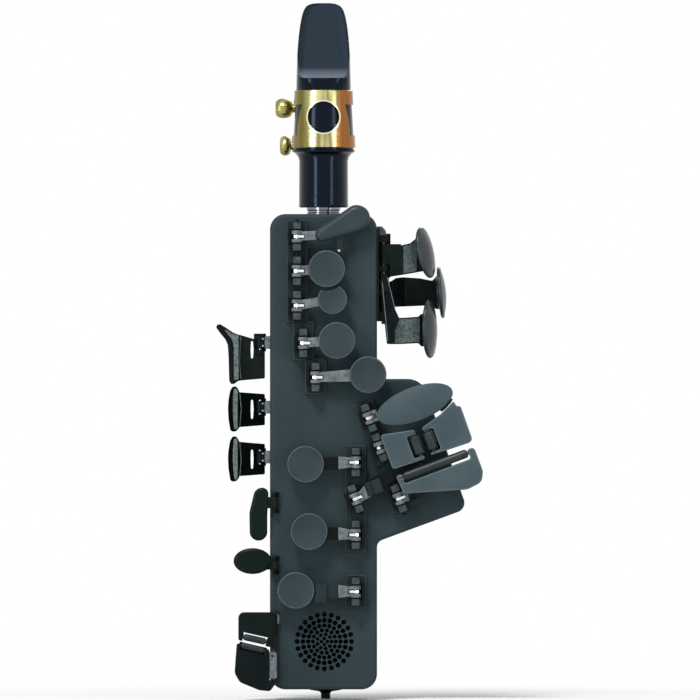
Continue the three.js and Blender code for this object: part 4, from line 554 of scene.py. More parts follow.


# The lighter rim colours of the touch, plate and base finishes are painted highlights on their marked rims
FINISHES = {
    "case": finish_of("case_charcoal", (36, 49, 52), (48, 61, 65), 0.58, 26, 2400, 0.03, specular=0.1),
    "touch": finish_of(
        "touch_satin", (34, 46, 50), (45, 58, 62), 0.34, 60, 3000, 0.02, specular=0.2, rim_highlight=(104, 116, 121),
    ),
    "plate": finish_of(
        "plate_satin", (55, 69, 74), (68, 83, 88), 0.42, 50, 3000, 0.02, specular=0.14, rim_highlight=(120, 134, 138),
    ),
    "lever": finish_of("lever_grey", (66, 74, 78), (116, 122, 124), 0.4, 500, 3600, 0.06, specular=0.25),
    "cap": finish_of("cap_textured", (36, 46, 47), (66, 76, 76), 0.4, 500, 2600, 0.06, specular=0.2),
    # Near black; on the hinge posts and on the arms under the table plates it is painted shade
    "post": finish_of("post_dark", (5, 9, 10), (12, 17, 18), 0.4, 400, 2600, 0.06, specular=0.1),
    "base": finish_of(
        "base_dark", (26, 36, 38), (36, 47, 49), 0.45, 120, 2600, 0.05, specular=0.12, rim_highlight=(78, 90, 92),
    ),
    "black": finish_of("black_satin", (5, 12, 12), (16, 25, 25), 0.34, 120, 2200, 0.04, specular=0.07),
    # A darker copy of the black finish, a painted shade for blades turned to the left lamp
    "deep_black": finish_of("deep_black_satin", (2, 6, 6), (8, 13, 13), 0.6, 120, 2200, 0.04, specular=0),
    "nickel": finish_of("nickel", (140, 145, 150), (170, 175, 180), 0.24, 80, 900, 0.002, metal=1),
    "lens": finish_of("lens_satin", (27, 37, 39), (44, 55, 57), 0.24, 90, 2600, 0.02, specular=0.32),
    "grain": finish_of("black_grained", (38, 50, 51), (112, 124, 124), 0.5, 900, 2600, 0.14, specular=0.2),
    "trill": finish_of("trill_black", (3, 16, 12), (8, 24, 19), 0.3, 60, 2600, 0.02, specular=0.1),
    "roller": finish_of("roller_black", (24, 32, 33), (38, 48, 49), 0.36, 200, 2600, 0.01, specular=0.25),
    "ebonite": finish_of(
        "ebonite_black", (1, 2, 5), (3, 5, 9), 0.17, 80, 900, 0.002, specular=0.22, tint=(0.5, 0.68, 1, 1),
    ),
    "neck": finish_of("neck_chrome", (120, 124, 130), (150, 154, 160), 0.16, 80, 900, 0.002, metal=1),
    "gold": finish_of("gold_lacquer", (186, 164, 92), (218, 204, 140), 0.2, 90, 700, 0.004, metal=1),
    "gold_knob": finish_of("gold_knob", (92, 90, 42), (176, 172, 106), 0.28, 160, 700, 0.01, metal=1),
    "gold_ring": finish_of("gold_ring", (226, 216, 170), (246, 240, 208), 0.2, 200, 700, 0.004, metal=1),
    "steel": finish_of("steel_bright", (205, 208, 212), (232, 234, 238), 0.24, 300, 2600, 0.01, metal=1),
    "dark_steel": finish_of("steel_dark", (58, 60, 62), (84, 86, 88), 0.3, 300, 2600, 0.02, metal=1),
    "cane": finish_of(
        "cane_reed", (196, 170, 112), (224, 202, 146), 0.6, 90, 1500, 0.05, stretch=(1, 1, 0.06),
    ),
    "cork": finish_of("cork_ring", (150, 104, 62), (194, 148, 96), 0.85, 500, 1200, 0.2),
    "board": finish_of("board_green", (20, 74, 46), (34, 98, 62), 0.45, 300, 1500, 0.02),
    "cell": finish_of("cell_foil", (138, 142, 147), (160, 164, 168), 0.35, 60, 1500, 0.05, metal=0.6),
    "inside": finish_of("inside_black", (10, 12, 12), (18, 20, 20), 0.7, 120, 2000, 0.05, specular=0.2),
}


def shader_of(material):
    return material.node_tree.nodes["Principled BSDF"]


def add_beak_patch(material, colour, shoulder_reflection_colour, roughness):
    """Where the beak attribute is above nought the ebonite turns to a duller skin, with a lighter painted
    reflection at its foot, the concave shoulder.
    """
    tree, shader = material.node_tree, shader_of(material)
    patch = ramp(tree, attribute(tree, "beak"), 0, 0.3, 0, 1)
    # Painted reflection: the skin is lighter on the concave shoulder at the foot of the beak
    skin_and_reflection = blend(tree, ramp(tree, attribute(tree, "foot"), 0, 1.1, 0, 1), shoulder_reflection_colour, colour)
    gloss, ebonite = (shader.inputs[name].links[0].from_socket for name in ("Roughness", "Base Color"))
    link(tree, blend(tree, patch, ebonite, skin_and_reflection), shader.inputs["Base Color"])
    kept = reckon(tree, "MULTIPLY", gloss, reckon(tree, "SUBTRACT", 1, patch))
    link(tree, reckon(tree, "MULTIPLY_ADD", patch, roughness, kept), shader.inputs["Roughness"])


def add_painted_lacquer_reflections(material):
    """Painted reflections in the lacquer of the ligature, olive to the left, pale in the middle and copper to
    the right, and fine upright streaks.
    """
    tree, shader = material.node_tree, shader_of(material)
    axes = tree.nodes.new("ShaderNodeSeparateXYZ")
    link(tree, tree.nodes.new("ShaderNodeTexCoord").outputs["Object"], axes.inputs["Vector"])
    reach = flare_radius * MM
    painted_reflection_tones = tree.nodes.new("ShaderNodeValToRGB")
    stops = painted_reflection_tones.color_ramp.elements
    for index, (position, shade) in enumerate(lacquer_reflection_stops):
        stop = stops[index] if index < 2 else stops.new(position)
        stop.position = position
        stop.color = LACQUER_REFLECTIONS_AND_STREAKS[shade]
    link(tree, ramp(tree, axes.outputs["X"], -reach, reach, 0, 1), painted_reflection_tones.inputs["Fac"])
    streaks = ramp(tree, noise(tree, 420, 2, 0.5, (1, 1, 0.05)), 0.42, 0.62, 0, 0.75)
    link(tree, blend(tree, streaks, painted_reflection_tones.outputs["Color"], LACQUER_REFLECTIONS_AND_STREAKS["streak"]), shader.inputs["Base Color"])


# The rim, olive, pale and copper tones are reflections painted on the ligature's gold; the streak colour is
# the lacquer's own
LACQUER_REFLECTIONS_AND_STREAKS = {
    "rim": srgb(150, 122, 74),
    "olive": srgb(112, 112, 50),
    "pale": srgb(214, 208, 154),
    "copper": srgb(164, 98, 52),
    "streak": srgb(120, 104, 58),
}
lacquer_reflection_stops = [
    (0.02, "rim"), (0.16, "olive"), (0.34, "pale"), (0.62, "pale"), (0.78, "copper"), (0.93, "copper"),
    (1, "rim"),
]


def piece(name, mesh, node, finish, place=PANEL, stands_for=True):
    """A finished piece in the row frame, riding on the body of its CAD node."""
    mesh.transform(place)
    mesh.name = name
    mesh.materials.clear()
    mesh.materials.append(FINISHES[finish])
    for polygon in mesh.polygons:
        polygon.use_smooth = True
        polygon.material_index = 0
    mesh.set_sharp_from_angle(angle=math.radians(38))
    thing = bpy.data.objects.new(name, mesh)
    bpy.context.scene.collection.objects.link(thing)
    smooth = thing.modifiers.new("even_normals", "WEIGHTED_NORMAL")
    smooth.keep_sharp = True
    smooth.weight = 90
    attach(thing, BODY_OF[node])
    if stands_for:
        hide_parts(node)
    return thing


def more(name, mesh, node, finish, place=PANEL):
    """A further piece of a key, beside the one that stands for its CAD node."""
    return piece(name, mesh, node, finish, place, stands_for=False)


def at(place, x, y, z, tilt=0):
    return place @ Matrix.Translation((x, y, z)) @ Matrix.Rotation(tilt, 4, "Z")


# Camera, floor and light

PHOTO_SIDE = 700
PHOTO_SCALE = 0.45
PHOTO_BODY_CENTRE = 323.5
PHOTO_BODY_FOOT = 689.5
SENSOR = 36
LENS = 800

view_centre_x = (PHOTO_SIDE / 2 - PHOTO_BODY_CENTRE) * PHOTO_SCALE * MM
view_centre_z = front_low.z + (PHOTO_BODY_FOOT - PHOTO_SIDE / 2) * PHOTO_SCALE * MM
view_distance = PHOTO_SIDE * PHOTO_SCALE * MM * LENS / SENSOR


def add_camera():
    data = bpy.data.cameras.new("camera")
    data.lens = LENS
    data.sensor_width = SENSOR
    data.clip_end = 20
    camera = bpy.data.objects.new("camera", data)
    bpy.context.scene.collection.objects.link(camera)
    camera.location = (view_centre_x, front_low.y - view_distance, view_centre_z)
    camera.rotation_euler = (math.pi / 2, 0, 0)
    bpy.context.scene.camera = camera


def add_world():
    world = bpy.data.worlds.new("studio")
    world.use_nodes = True
    tree = world.node_tree
    levels = []
    seen_white = tree.nodes.new("ShaderNodeBackground")
    for node, strength in ((tree.nodes["Background"], WORLD_LEVEL), (seen_white, 1)):
        node.inputs["Color"].default_value = WHITE
        node.inputs["Strength"].default_value = strength
        levels.append(node.outputs["Background"])
    seen = rays(tree, "Is Camera Ray", "Is Glossy Ray", "Is Transmission Ray")
    link(tree, mix_shaders(tree, seen, *levels), tree.nodes["World Output"].inputs["Surface"])
    bpy.context.scene.world = world


FLOOR_RADIUS = 9
FLOOR_FADE = (0.06, 0.3)
FLOOR_COLOUR = (0.9, 0.9, 0.9, 1)
WHITE = (1, 1, 1, 1)
WORLD_LEVEL = 0.26
COOL = (0.92, 0.96, 1)
LAMP_DISTANCE = 1.3
LAMPS = {
    "left_strip": {"from": (-41, 8), "size": (0.24, 0.6), "power": 4.6, "colour": COOL},
    "right_strip": {"from": (41, 4), "size": (0.24, 0.6), "power": 2.6, "colour": COOL},
    "key_lamp": {"from": (-20, 50), "size": (0.3, 0.3), "power": 13.5, "colour": WHITE[:3]},
    "back_lamp": {"from": (165, 35), "size": (0.6, 0.6), "power": 4, "colour": WHITE[:3]},
}


def add_floor():
    """A pale round floor under the foot, which fades to the white of the world away from the object."""
    corners = ellipse(0, 0, FLOOR_RADIUS, FLOOR_RADIUS)
    mesh = mesh_of([(p.x, p.y, 0) for p in corners], [list(range(len(corners)))])
    floor = bpy.data.objects.new("floor", mesh)
    floor.location = (0, (cad_low.y + cad_high.y) / 2, cad_low.z - gap * MM)
    bpy.context.scene.collection.objects.link(floor)
    material = bpy.data.materials.new("floor_white")
    material.use_nodes = True
    tree = material.node_tree
    matte = tree.nodes["Principled BSDF"]
    matte.inputs["Base Color"].default_value = FLOOR_COLOUR
    matte.inputs["Roughness"].default_value = 0.9
    glow = tree.nodes.new("ShaderNodeEmission")
    length = tree.nodes.new("ShaderNodeVectorMath")
    length.operation = "LENGTH"
    link(tree, tree.nodes.new("ShaderNodeTexCoord").outputs["Object"], length.inputs[0])
    far = ramp(tree, length.outputs["Value"], *FLOOR_FADE, 0, 1)
    share = reckon(tree, "MULTIPLY", far, rays(tree, "Is Camera Ray", "Is Glossy Ray"))
    faded = mix_shaders(tree, share, matte.outputs["BSDF"], glow.outputs["Emission"])
    link(tree, faded, tree.nodes["Material Output"].inputs["Surface"])
    floor.data.materials.append(material)


def add_lamp(name, lamp):
    """A soft rectangular lamp that faces the middle of the object."""
    data = bpy.data.lights.new(name, "AREA")
    data.shape = "RECTANGLE"
    data.size, data.size_y = lamp["size"]
    data.energy = lamp["power"]
    data.color = lamp["colour"]
    thing = bpy.data.objects.new(name, data)
    around, up = (math.radians(angle) for angle in lamp["from"])
    away = Vector((math.sin(around) * math.cos(up), -math.cos(around) * math.cos(up), math.sin(up)))
    thing.location = Vector((view_centre_x, 0, view_centre_z)) + away * LAMP_DISTANCE
    thing.rotation_euler = (-away).to_track_quat("-Z", "Y").to_euler()
    bpy.context.scene.collection.objects.link(thing)


def add_studio():
    add_camera()
    add_world()
    add_floor()
    for name, lamp in LAMPS.items():
        add_lamp(name, lamp)
    bpy.context.scene.view_settings.view_transform = "Standard"


add_studio()


# The case: two covers that meet at a seam

body_corner_radius = 7
wing_depth = 22
wing_top = body_height * 0.653
wing_side = body_height * 0.2888
wing_shoulder = side + body_width * 0.421
wing_side_lean = math.radians(19.1)
wing_foot_lean = math.radians(20.2)
wing_tip = wing_shoulder + wing_side * math.sin(wing_side_lean)
wing_tip_height = wing_top - wing_side * math.cos(wing_side_lean)
wing_foot = wing_tip_height - (wing_tip - side) * math.tan(wing_foot_lean)
wing_fillet = 3.6
seam = 0.25

body_corners = [
    (-side, 0, body_corner_radius),
    (side, 0, body_corner_radius),
    (side, body_height, body_corner_radius),
    (-side, body_height, body_corner_radius),
]
case_corners = [
    body_corners[0],
    body_corners[1],
    (side, wing_foot, wing_fillet),
    (wing_tip, wing_tip_height, 4.4),
    (wing_shoulder, wing_top, 9),
    (side, wing_top, wing_fillet / 2),
    body_corners[2],
    body_corners[3],
]
case_outline = rounded(case_corners, 14)
body_outline = rounded(body_corners, 14)

speaker_x = body_width * 0.008
speaker_y = body_height * 0.1008
grille_radius = body_width * 0.2552
grille_hole = 1.1
grille_flare = 1.1
grille_ring_shares = [
    (1, 24, 1), (0.785, 24, 0.96), (0.591, 20, 0.88), (0.42, 14, 0.83), (0.263, 9, 0.78), (0.11, 4, 0.74),
]

neck_radius = 7.6
drain_centre = body_width * 0.019
drain_inside = 3.4
usb_x = -body_width * 0.25
usb_z = -body_depth * 0.22
usb_half_width = 4.5
usb_half_height = 1.7
button_x = body_width * 0.27
button_y = body_height * 0.16
button_radius = 3
case_steps = 6

side_key_heights = [body_height * share for share in (0.7298, 0.5937, 0.4886)]
side_span = body_height * 0.0673
side_pivot_x = -side - 4.5
side_pivot_z = face - 6
tab_half = side_span * 0.2014
tab_thickness = 4.4
trill_x = -side + 2.1
trill_height = 2.1
trill_stem = (-side + wall + gap, -side + wall + gap + 1.5)
trill_keys = {
    "fork_f_sharp_key": (body_height * 0.393, body_height * 0.0243),
    "high_f_sharp_key": (body_height * 0.2616, body_height * 0.0196),
}
trill_post = 1.5


def trill_posts(name):
    centre, length = trill_keys[name]
    near = length / 2 + gap
    return [(centre - near - trill_post, centre - near), (centre + near, centre + near + trill_post)]


def grille_cutters():
    cutters = []
    low, high = face - wall - overrun, face + overrun
    for radius_share, holes, hole_share in grille_ring_shares:
        radius = grille_hole * hole_share
        flare = radius * grille_flare
        rim = face + seam / 4
        profile = [(0, low), (radius, low), (radius, face - crisp), (flare, rim), (flare, high), (0, high)]
        for index in range(holes):
            angle = 2 * math.pi * index / holes
            x = speaker_x + grille_radius * radius_share * math.cos(angle)
            y = speaker_y + grille_radius * radius_share * math.sin(angle)
            cutters.append(shifted(revolve(profile, 14), x, y, 0))
    return merged(*cutters)


def wall_slots():
    reach, depth = tab_half + gap, tab_thickness / 2 + gap
    x0, x1 = -side - overrun, -side + wall + overrun
    slots = [
        block(x0, x1, centre - reach, centre + reach, side_pivot_z - depth, side_pivot_z + depth, 0)
        for centre in side_key_heights
    ]
    x0, x1 = trill_stem[0] - gap, trill_stem[1] + gap
    for y0, y1 in [span for name in trill_keys for span in trill_posts(name)]:
        slots.append(block(x0, x1, y0 - gap, y1 + gap, face - wall - overrun, face + overrun, 0))
    return slots


def end_openings():
    return [
        hole_y(neck_radius + gap, 0, 0, body_height - wall - overrun, body_height + overrun),
        hole_y(drain_inside + gap, drain_centre, 0, -overrun, wall + overrun),
    ]


def add_front_cover():
    shell = slab(case_outline, 0, face, seam, cover_edge, case_steps)
    hollow = slab(inset(case_outline, wall), -overrun, face - wall, 0)
    mesh = cut(shell, hollow, grille_cutters(), *wall_slots(), *end_openings())
    piece("front_cover_shell", mesh, "front_cover", "case")


def add_back_cover():
    body = slab(body_outline, -face, 0, cover_edge, seam, case_steps)
    wing = slab(case_outline, face - wing_depth, 0, cover_edge, seam, case_steps)
    body_hollow = slab(inset(body_outline, wall), -face + wall, overrun, 0)
    wing_hollow = slab(inset(case_outline, wall), face - wing_depth + wall, overrun, 0)
    wide, high = usb_half_width + gap, usb_half_height + gap
    usb_hole = block(usb_x - wide, usb_x + wide, -overrun, wall + overrun, usb_z - high, usb_z + high, 0)
    button_hole = hole_z(button_radius + gap, button_x, button_y, -face - overrun, -face + wall + overrun)
    mesh = cut(join(body, wing), body_hollow, wing_hollow, usb_hole, button_hole, *end_openings())
    piece("back_cover_shell", mesh, "back_cover", "case")


add_front_cover()
add_back_cover()

# Rails and posts of the hinges on the face

hub_shares = {
    "front_f_key": 0.9526,
    "b_key": 0.88,
    "bis_key": 0.8075,
    "a_key": 0.7286,
    "g_key": 0.6565,
    "right_f_key": 0.478,
    "right_e_key": 0.3255,
    "right_d_key": 0.2061,
}
hub_y = {name: body_height * share for name, share in hub_shares.items()}
left_rod_x = -body_width * 0.247
a_rod_x = -body_width * 0.188
g_rod_x = -body_width * 0.074
right_rod_x = body_width * 0.3
rail_half_width = 4.9
rail_margin = 1
plate_corner = 0.9
plate_edge = 0.4
first_row = [hub_y[name] for name in ("front_f_key", "b_key", "bis_key")]


def post_spans(centre):
    near = hub_length / 2 + gap
    return [(centre - near - post_length, centre - near), (centre + near, centre + near + post_length)]


def reach_of(*centres):
    """From the lowest to the highest end of the posts round the centres."""
    reach = hub_length / 2 + gap + post_length
    return min(centres) - reach, max(centres) + reach


cap_margin = 0.4
cap_height = 0.6
post_top = rod_height + post_rise
stop_near = hub_radius + 0.45
stop_far = 4.3
stop_top = rod_height + 0.9


def hinge_posts(x, centre, margin, low, high, edge):
    """The blocks on both sides of a hub that carry its pin, drawn in by a margin."""
    x0, x1 = x - post_width / 2 + margin, x + post_width / 2 - margin
    return [block(x0, x1, y0 + margin, y1 - margin, low, high, edge) for y0, y1 in post_spans(centre)]


def hinge_stop(x, centre, way):
    """The upright bar behind a hub, on the side away from its lever."""
    x0, x1 = sorted((x - way * stop_near, x - way * stop_far))
    half = hub_length / 2 + post_length * 0.3
    return block(x0, x1, centre - half, centre + half, rail_thickness - fine, stop_top, 0.25)


def base_plate(x, y0, y1):
    outline = box_outline(x - rail_half_width, x + rail_half_width, y0, y1, plate_corner)
    return slab(outline, 0, rail_thickness, 0, plate_edge, rim_steps, fine)


def add_rail(node, plates, hinges, rods, place=FACE):
    """A rail of base plates and its hinges, each given by x, its centre and the way of its lever."""
    piece(node + "_base", merged(*plates), node, "base", place)
    add_hinges(node, hinges, place, "upright")
    if rods:
        more(node + "_pins", merged(*rods), node, "post", place)


def add_hinges(node, hinges, place, label):
    """Near-black posts and stops, painted as the shade that outlines the lighter tops of the posts."""
    posts, caps, stops = [], [], []
    for x, centre, way in hinges:
        posts += hinge_posts(x, centre, 0, rail_thickness - fine, post_top - cap_height / 2, 0.3)
        caps += hinge_posts(x, centre, cap_margin, post_top - cap_height, post_top, 0.25)
        stops.append(hinge_stop(x, centre, way))
    more(f"{node}_{label}_posts", merged(*posts, *stops), node, "post", place)
    more(f"{node}_{label}_caps", merged(*caps), node, "cap", place)


def hinge_pin(x, *centres, beyond=0):
    low, high = reach_of(*centres)
    return rod_y(rod_radius, x, rod_height, low - beyond, high + beyond)


def add_bracket(node, x, centres, way, place=FACE, beyond=0):
    """A rail with one base plate and a pin at each centre."""
    low, high = reach_of(*centres)
    plate = base_plate(x, low - rail_margin, high + rail_margin)
    pins = [hinge_pin(x, centre, beyond=beyond) for centre in centres]
    add_rail(node, [plate], [(x, centre, way) for centre in centres], pins, place)


def add_left_stack():
    first_low, first_high = reach_of(*first_row)
    a_low, _ = reach_of(hub_y["a_key"])
    g_low, g_high = reach_of(hub_y["g_key"])
    middle = (a_low + g_high) / 2
    plates = [
        base_plate(left_rod_x, first_low - rail_margin, first_high + rail_margin),
        base_plate(a_rod_x, middle - fine, first_low),
        base_plate(g_rod_x, g_low - rail_margin, middle + rail_margin),
    ]
    lower = [(a_rod_x, hub_y["a_key"]), (g_rod_x, hub_y["g_key"])]
    hinges = [(x, y, 1) for x, y in [(left_rod_x, y) for y in first_row] + lower]
    add_rail("left_stack_rail", plates, hinges, [hinge_pin(x, y) for x, y in lower])
    pin = hinge_pin(left_rod_x, *first_row, beyond=overrun)
    piece("left_stack_pin", pin, "left_stack_rod", "post", FACE)


# Table frame of the left little finger

table_tilt = math.radians(20.5)
TABLE = at(FACE, body_width * 0.4232, body_height * 0.571, 0, table_tilt)
table_span = body_height * 0.18925
c_sharp_hub = -table_span * 0.351
b_flat_hub = -table_span * 0.956
low_b_hub = (-table_span * 0.452, -table_span * 0.788)


def add_right_stack():
    add_bracket("right_stack_rail", right_rod_x, [hub_y["right_f_key"], hub_y["right_e_key"]], -1)
    add_hinges("right_stack_rail", [(*low_b_hub, 1)], TABLE, "tilted")
    more("low_b_pin", hinge_pin(*low_b_hub, beyond=overrun), "right_stack_rail", "post", TABLE)
    add_bracket("right_d_bracket", right_rod_x, [hub_y["right_d_key"]], -1)


def add_table_rails():
    low, high = reach_of(c_sharp_hub, 0)
    plate = base_plate(0, low - rail_margin, high + rail_margin)
    add_rail("table_rail", [plate], [(0, 0, 1), (0, c_sharp_hub, 1)], [], TABLE)
    piece("table_pin", hinge_pin(0, c_sharp_hub, 0, beyond=overrun), "table_rod", "post", TABLE)
    add_bracket("low_b_flat_bracket", 0, [b_flat_hub], 1, TABLE, overrun)


add_left_stack()
add_right_stack()
add_table_rails()

# Keys about their pivots

slot_width = 2.1
slot_reach = 3.5
spring_wire = 0.13
leaf_half = slot_width * 0.31
leaf_rise = rod_radius + 0.4
leaf_thickness = 0.3
leaf_bends = [(-1.35, -0.5), (0, 0), (1.4, -0.3), (slot_reach - 0.3, -0.7)]
leaf_round, leaf_edge = 0.6, 0.08
coil_steps = 24
disc_rim = 0.42
disc_lip = 0.2
disc_steps = 12


def hub(length=hub_length, radius=hub_radius):
    return rod_y(radius, 0, 0, -length / 2, length / 2)


def bored(mesh, length=hub_length):
    return cut(mesh, rod_y(rod_radius + bore_clearance, 0, 0, -length, length, pin_sides, sharp))


def forked(mesh, way):
    x0, x1 = sorted((-way * (hub_radius + overrun), way * slot_reach))
    slot = block(x0, x1, -slot_width / 2, slot_width / 2, -hub_radius - overrun, hub_radius + overrun, 0)
    return bored(cut(mesh, slot))


def add_spring(node, way, place):
    """A bright leaf that lies over the pin in the fork, with two coils of wire beside it."""
    path = [(way * x, leaf_rise + rise) for x, rise in leaf_bends][::way]
    leaf = strap(path, leaf_thickness, -leaf_half, leaf_half, leaf_round, leaf_edge)
    coil = rod_radius + spring_wire + bore_clearance / 3
    turn = [2 * math.pi * step / coil_steps for step in range(coil_steps + 1)]
    beside = leaf_half + 2 * spring_wire
    coils = [[(coil * math.cos(a), y, coil * math.sin(a)) for a in turn] for y in (-beside, beside)]
    mesh = merged(leaf, *(tube(places, spring_wire) for places in coils))
    more(node + "_spring", mesh, node, "steel", place)


def add_lever(name, place, arm, way=1):
    piece(name + "_lever", forked(join(hub(), arm), way), name, "lever", place)


def add_touch(name, place, touch):
    more(name + "_touch", touch, name, "touch", place)


def add_face_key(name, place, arm, touch):
    """The forked lever, the touch and the spring of a key on the face."""
    add_lever(name, place, arm)
    add_touch(name, place, touch)
    add_spring(name, 1, place)


def touch_disc(radius, thickness=touch_thickness):
    """A round touch: a narrow soft rim round a dish, standing on z from 0."""
    profile = [(0, 0), (radius - 0.9, 0), (radius - 0.25, 0.35), (radius, 1)]
    for step in range(rim_steps + 1):
        angle = math.pi / 2 * step / rim_steps
        reach, rise = radius - disc_rim * (1 - math.cos(angle)), thickness - disc_rim * (1 - math.sin(angle))
        profile.append((reach, rise))
    marked = len(profile) - 1
    for step in range(disc_steps + 1):
        share = 1 - step / disc_steps
        profile.append(((radius - disc_rim - disc_lip) * share, thickness - touch_dish * (1 - share ** 2)))
    mesh = revolve(profile)
    # The crest row of the rim is marked, where the touch finish paints a highlight
    rows = [float(row == marked) for row in range(1, len(profile) - 1) for _ in range(round_sides)]
    mesh.attributes["rim"].data.foreach_set("value", [0.0, *rows, 0.0])
    return mesh


left_touches = {
    "b_key": (left_rod_x, (0.03, 0.8846), 4.6),
    "a_key": (a_rod_x, (0.126, 0.7339), 4.6),
    "g_key": (g_rod_x, (0.415, 0.662), 6.3),
}
front_f_shares = {"near": (-0.0145, 0.9556), "far": (0.313, 0.9916), "link": (0.154, 0.918)}
front_f_radii = (3.1, 5.85)
front_f_rims = (0.6, 2.6)
link_half = 1.35
link_length = 8
bis_shares = (0.083, 0.82)
bis_radius_share = 0.8024
bis_bite = 1.5


def from_hub(name, rod_x, x_share, y_share):
    return body_width * x_share - rod_x, body_height * y_share - hub_y[name]


def lever_to(x, y, end_width):
    return slab(capsule(0, 0, lever_width / 2, x, y, end_width / 2), -lever_top, lever_top, 0.3)


def add_left_keys():
    for name, (rod_x, shares, width) in left_touches.items():
        x, y = from_hub(name, rod_x, *shares)
        disc = shifted(touch_disc(touch_radius), x, y, touch_seat)
        add_face_key(name, at(FACE, rod_x, hub_y[name], rod_height), lever_to(x, y, width), disc)


link_rise = 0.6
link_screw = (0.6, -0.5, 1)


def add_front_f_key():
    name = "front_f_key"
    place = at(FACE, left_rod_x, hub_y[name], rod_height)
    (x0, y0), (x1, y1), (x, y) = (from_hub(name, left_rod_x, *shares) for shares in front_f_shares.values())
    outline = capsule(x0, y0, front_f_radii[0], x1, y1, front_f_radii[1], round_sides // 2)
    touch = slab(outline, touch_seat, touch_seat + touch_thickness, *front_f_rims, round_steps)
    add_lever(name, place, lever_to(x0, y0, lever_width - fine))
    add_touch(name, place, touch)
    low, high = touch_seat - link_rise, touch_seat + link_rise
    link_arm = block(x - link_half, x + link_half, y, y + link_length, low, high)
    more(name + "_link", link_arm, name, "base", place)
    radius, right, up = link_screw
    screw = rod_z(radius, x + right, y + up, touch_seat, touch_seat + 1, pin_sides, 0.15)
    more(name + "_screw", screw, name, "steel", place)
    add_spring(name, 1, place)


def add_bis_key():
    name = "bis_key"
    x, y = from_hub(name, left_rod_x, *bis_shares)
    bite_x, bite_y = from_hub(name, left_rod_x, *left_touches["b_key"][1])
    bite = hole_z(touch_radius + bis_bite, bite_x, bite_y, touch_seat - overrun, 2 * touch_thickness)
    touch = cut(shifted(touch_disc(touch_radius * bis_radius_share), x, y, touch_seat), bite)
    place = at(FACE, left_rod_x, hub_y[name], rod_height)
    add_face_key(name, place, lever_to(x, y, lever_width - fine), touch)


add_left_keys()
add_front_f_key()
add_bis_key()

right_touches = {
    "right_f_key": (-0.167, 0.474),
    "right_e_key": (-0.133, 0.3324),
    "right_d_key": (-0.257, 0.2088),
}
step_reach = 7.8
step_hub_half = 1.9
step_end_half = 2.95
step_drop = 1.6
step_rise = 1.1
step_arm_half = 2.7
d_block_reach = 5.6
d_block_length = 5.4
d_block_half = 4.4


def arm_outline(lean, *ends):
    """A straight arm that leans, between two ends given by their reach and half width."""
    (a, p), (b, q) = ends
    corners = [(a, a * lean - p), (a, a * lean + p), (b, b * lean + q), (b, b * lean - q)]
    return rounded([(*corner, soft) for corner in corners], 3)


def add_right_keys():
    low = -step_drop
    top = low + lever_thickness
    for name, shares in right_touches.items():
        place = at(FACE, right_rod_x, hub_y[name], rod_height)
        x, y = from_hub(name, right_rod_x, *shares)
        bend = -step_reach
        upper = arm_outline(y / x, (0, step_hub_half), (bend, step_end_half))
        lower = arm_outline(y / x, (bend + overrun, step_end_half), (x, step_arm_half))
        add_lever(name, place, slab(upper, low, lever_top + step_rise, eased), -1)
        arm, finish = slab(lower, low, top, eased), "post"
        if name == "right_d_key":
            x1, y1 = x + touch_radius + d_block_reach, y + step_end_half
            x0, y0 = x1 - d_block_length, y1 - 2 * d_block_half
            arm, finish = join(arm, block(x0, x1, y0, y1, low + fine, top + step_rise, 0.4)), "base"
        more(name + "_arm", arm, name, finish, place)
        add_touch(name, place, shifted(touch_disc(touch_radius), x, y, top - touch_edge))
        add_spring(name, -1, place)


add_right_keys()

# Table keys of the left little finger

table_lift = 5.4
table_plate = 2.6
table_edge = 0.45
axle_radius = 0.6
collar_radius = 0.95
collar_width = 0.55
axle_end = 0.6
clip_apart = 0.8
clip_sink = 0.3
roller_bore = 0.85
short_roller = (2.4, table_span * 0.21)
long_roller = (2, table_span * 0.753)
table_fork_reach = 4.3
arm_shares = [(0, 0), (0.74, 0.06), (1.5, 1.2), (2.2, 1.2)]
table_top = table_lift + table_plate
g_sharp_x, g_sharp_y = 0.531, -0.035
g_sharp_width, g_sharp_height = 0.4444, 0.1889
g_sharp_thickness = 3.4
lens_under_share, lens_rim_share = 0.1, 0.36
skirt_start, skirt_turn, skirt_steps = -26, 2, 16
skirt_out, skirt_spread, skirt_in = 0.0225, 0.0003, 0.02
notch_radii = (1, 0.7, 0.7, 1)
low_b_fold = [(-0.6, 0.2), (0.2, 1.9), (2.2, 0.9), (2.8, 2.4), (6.6, 2.4)]
SHORT = {"roller": short_roller, "height": table_top + 0.8 - short_roller[0], "room": 0.7, "end_room": 0.8}
LONG = {"roller": long_roller, "height": table_top + 0.9 - long_roller[0], "room": 0.9, "end_room": 0.5}
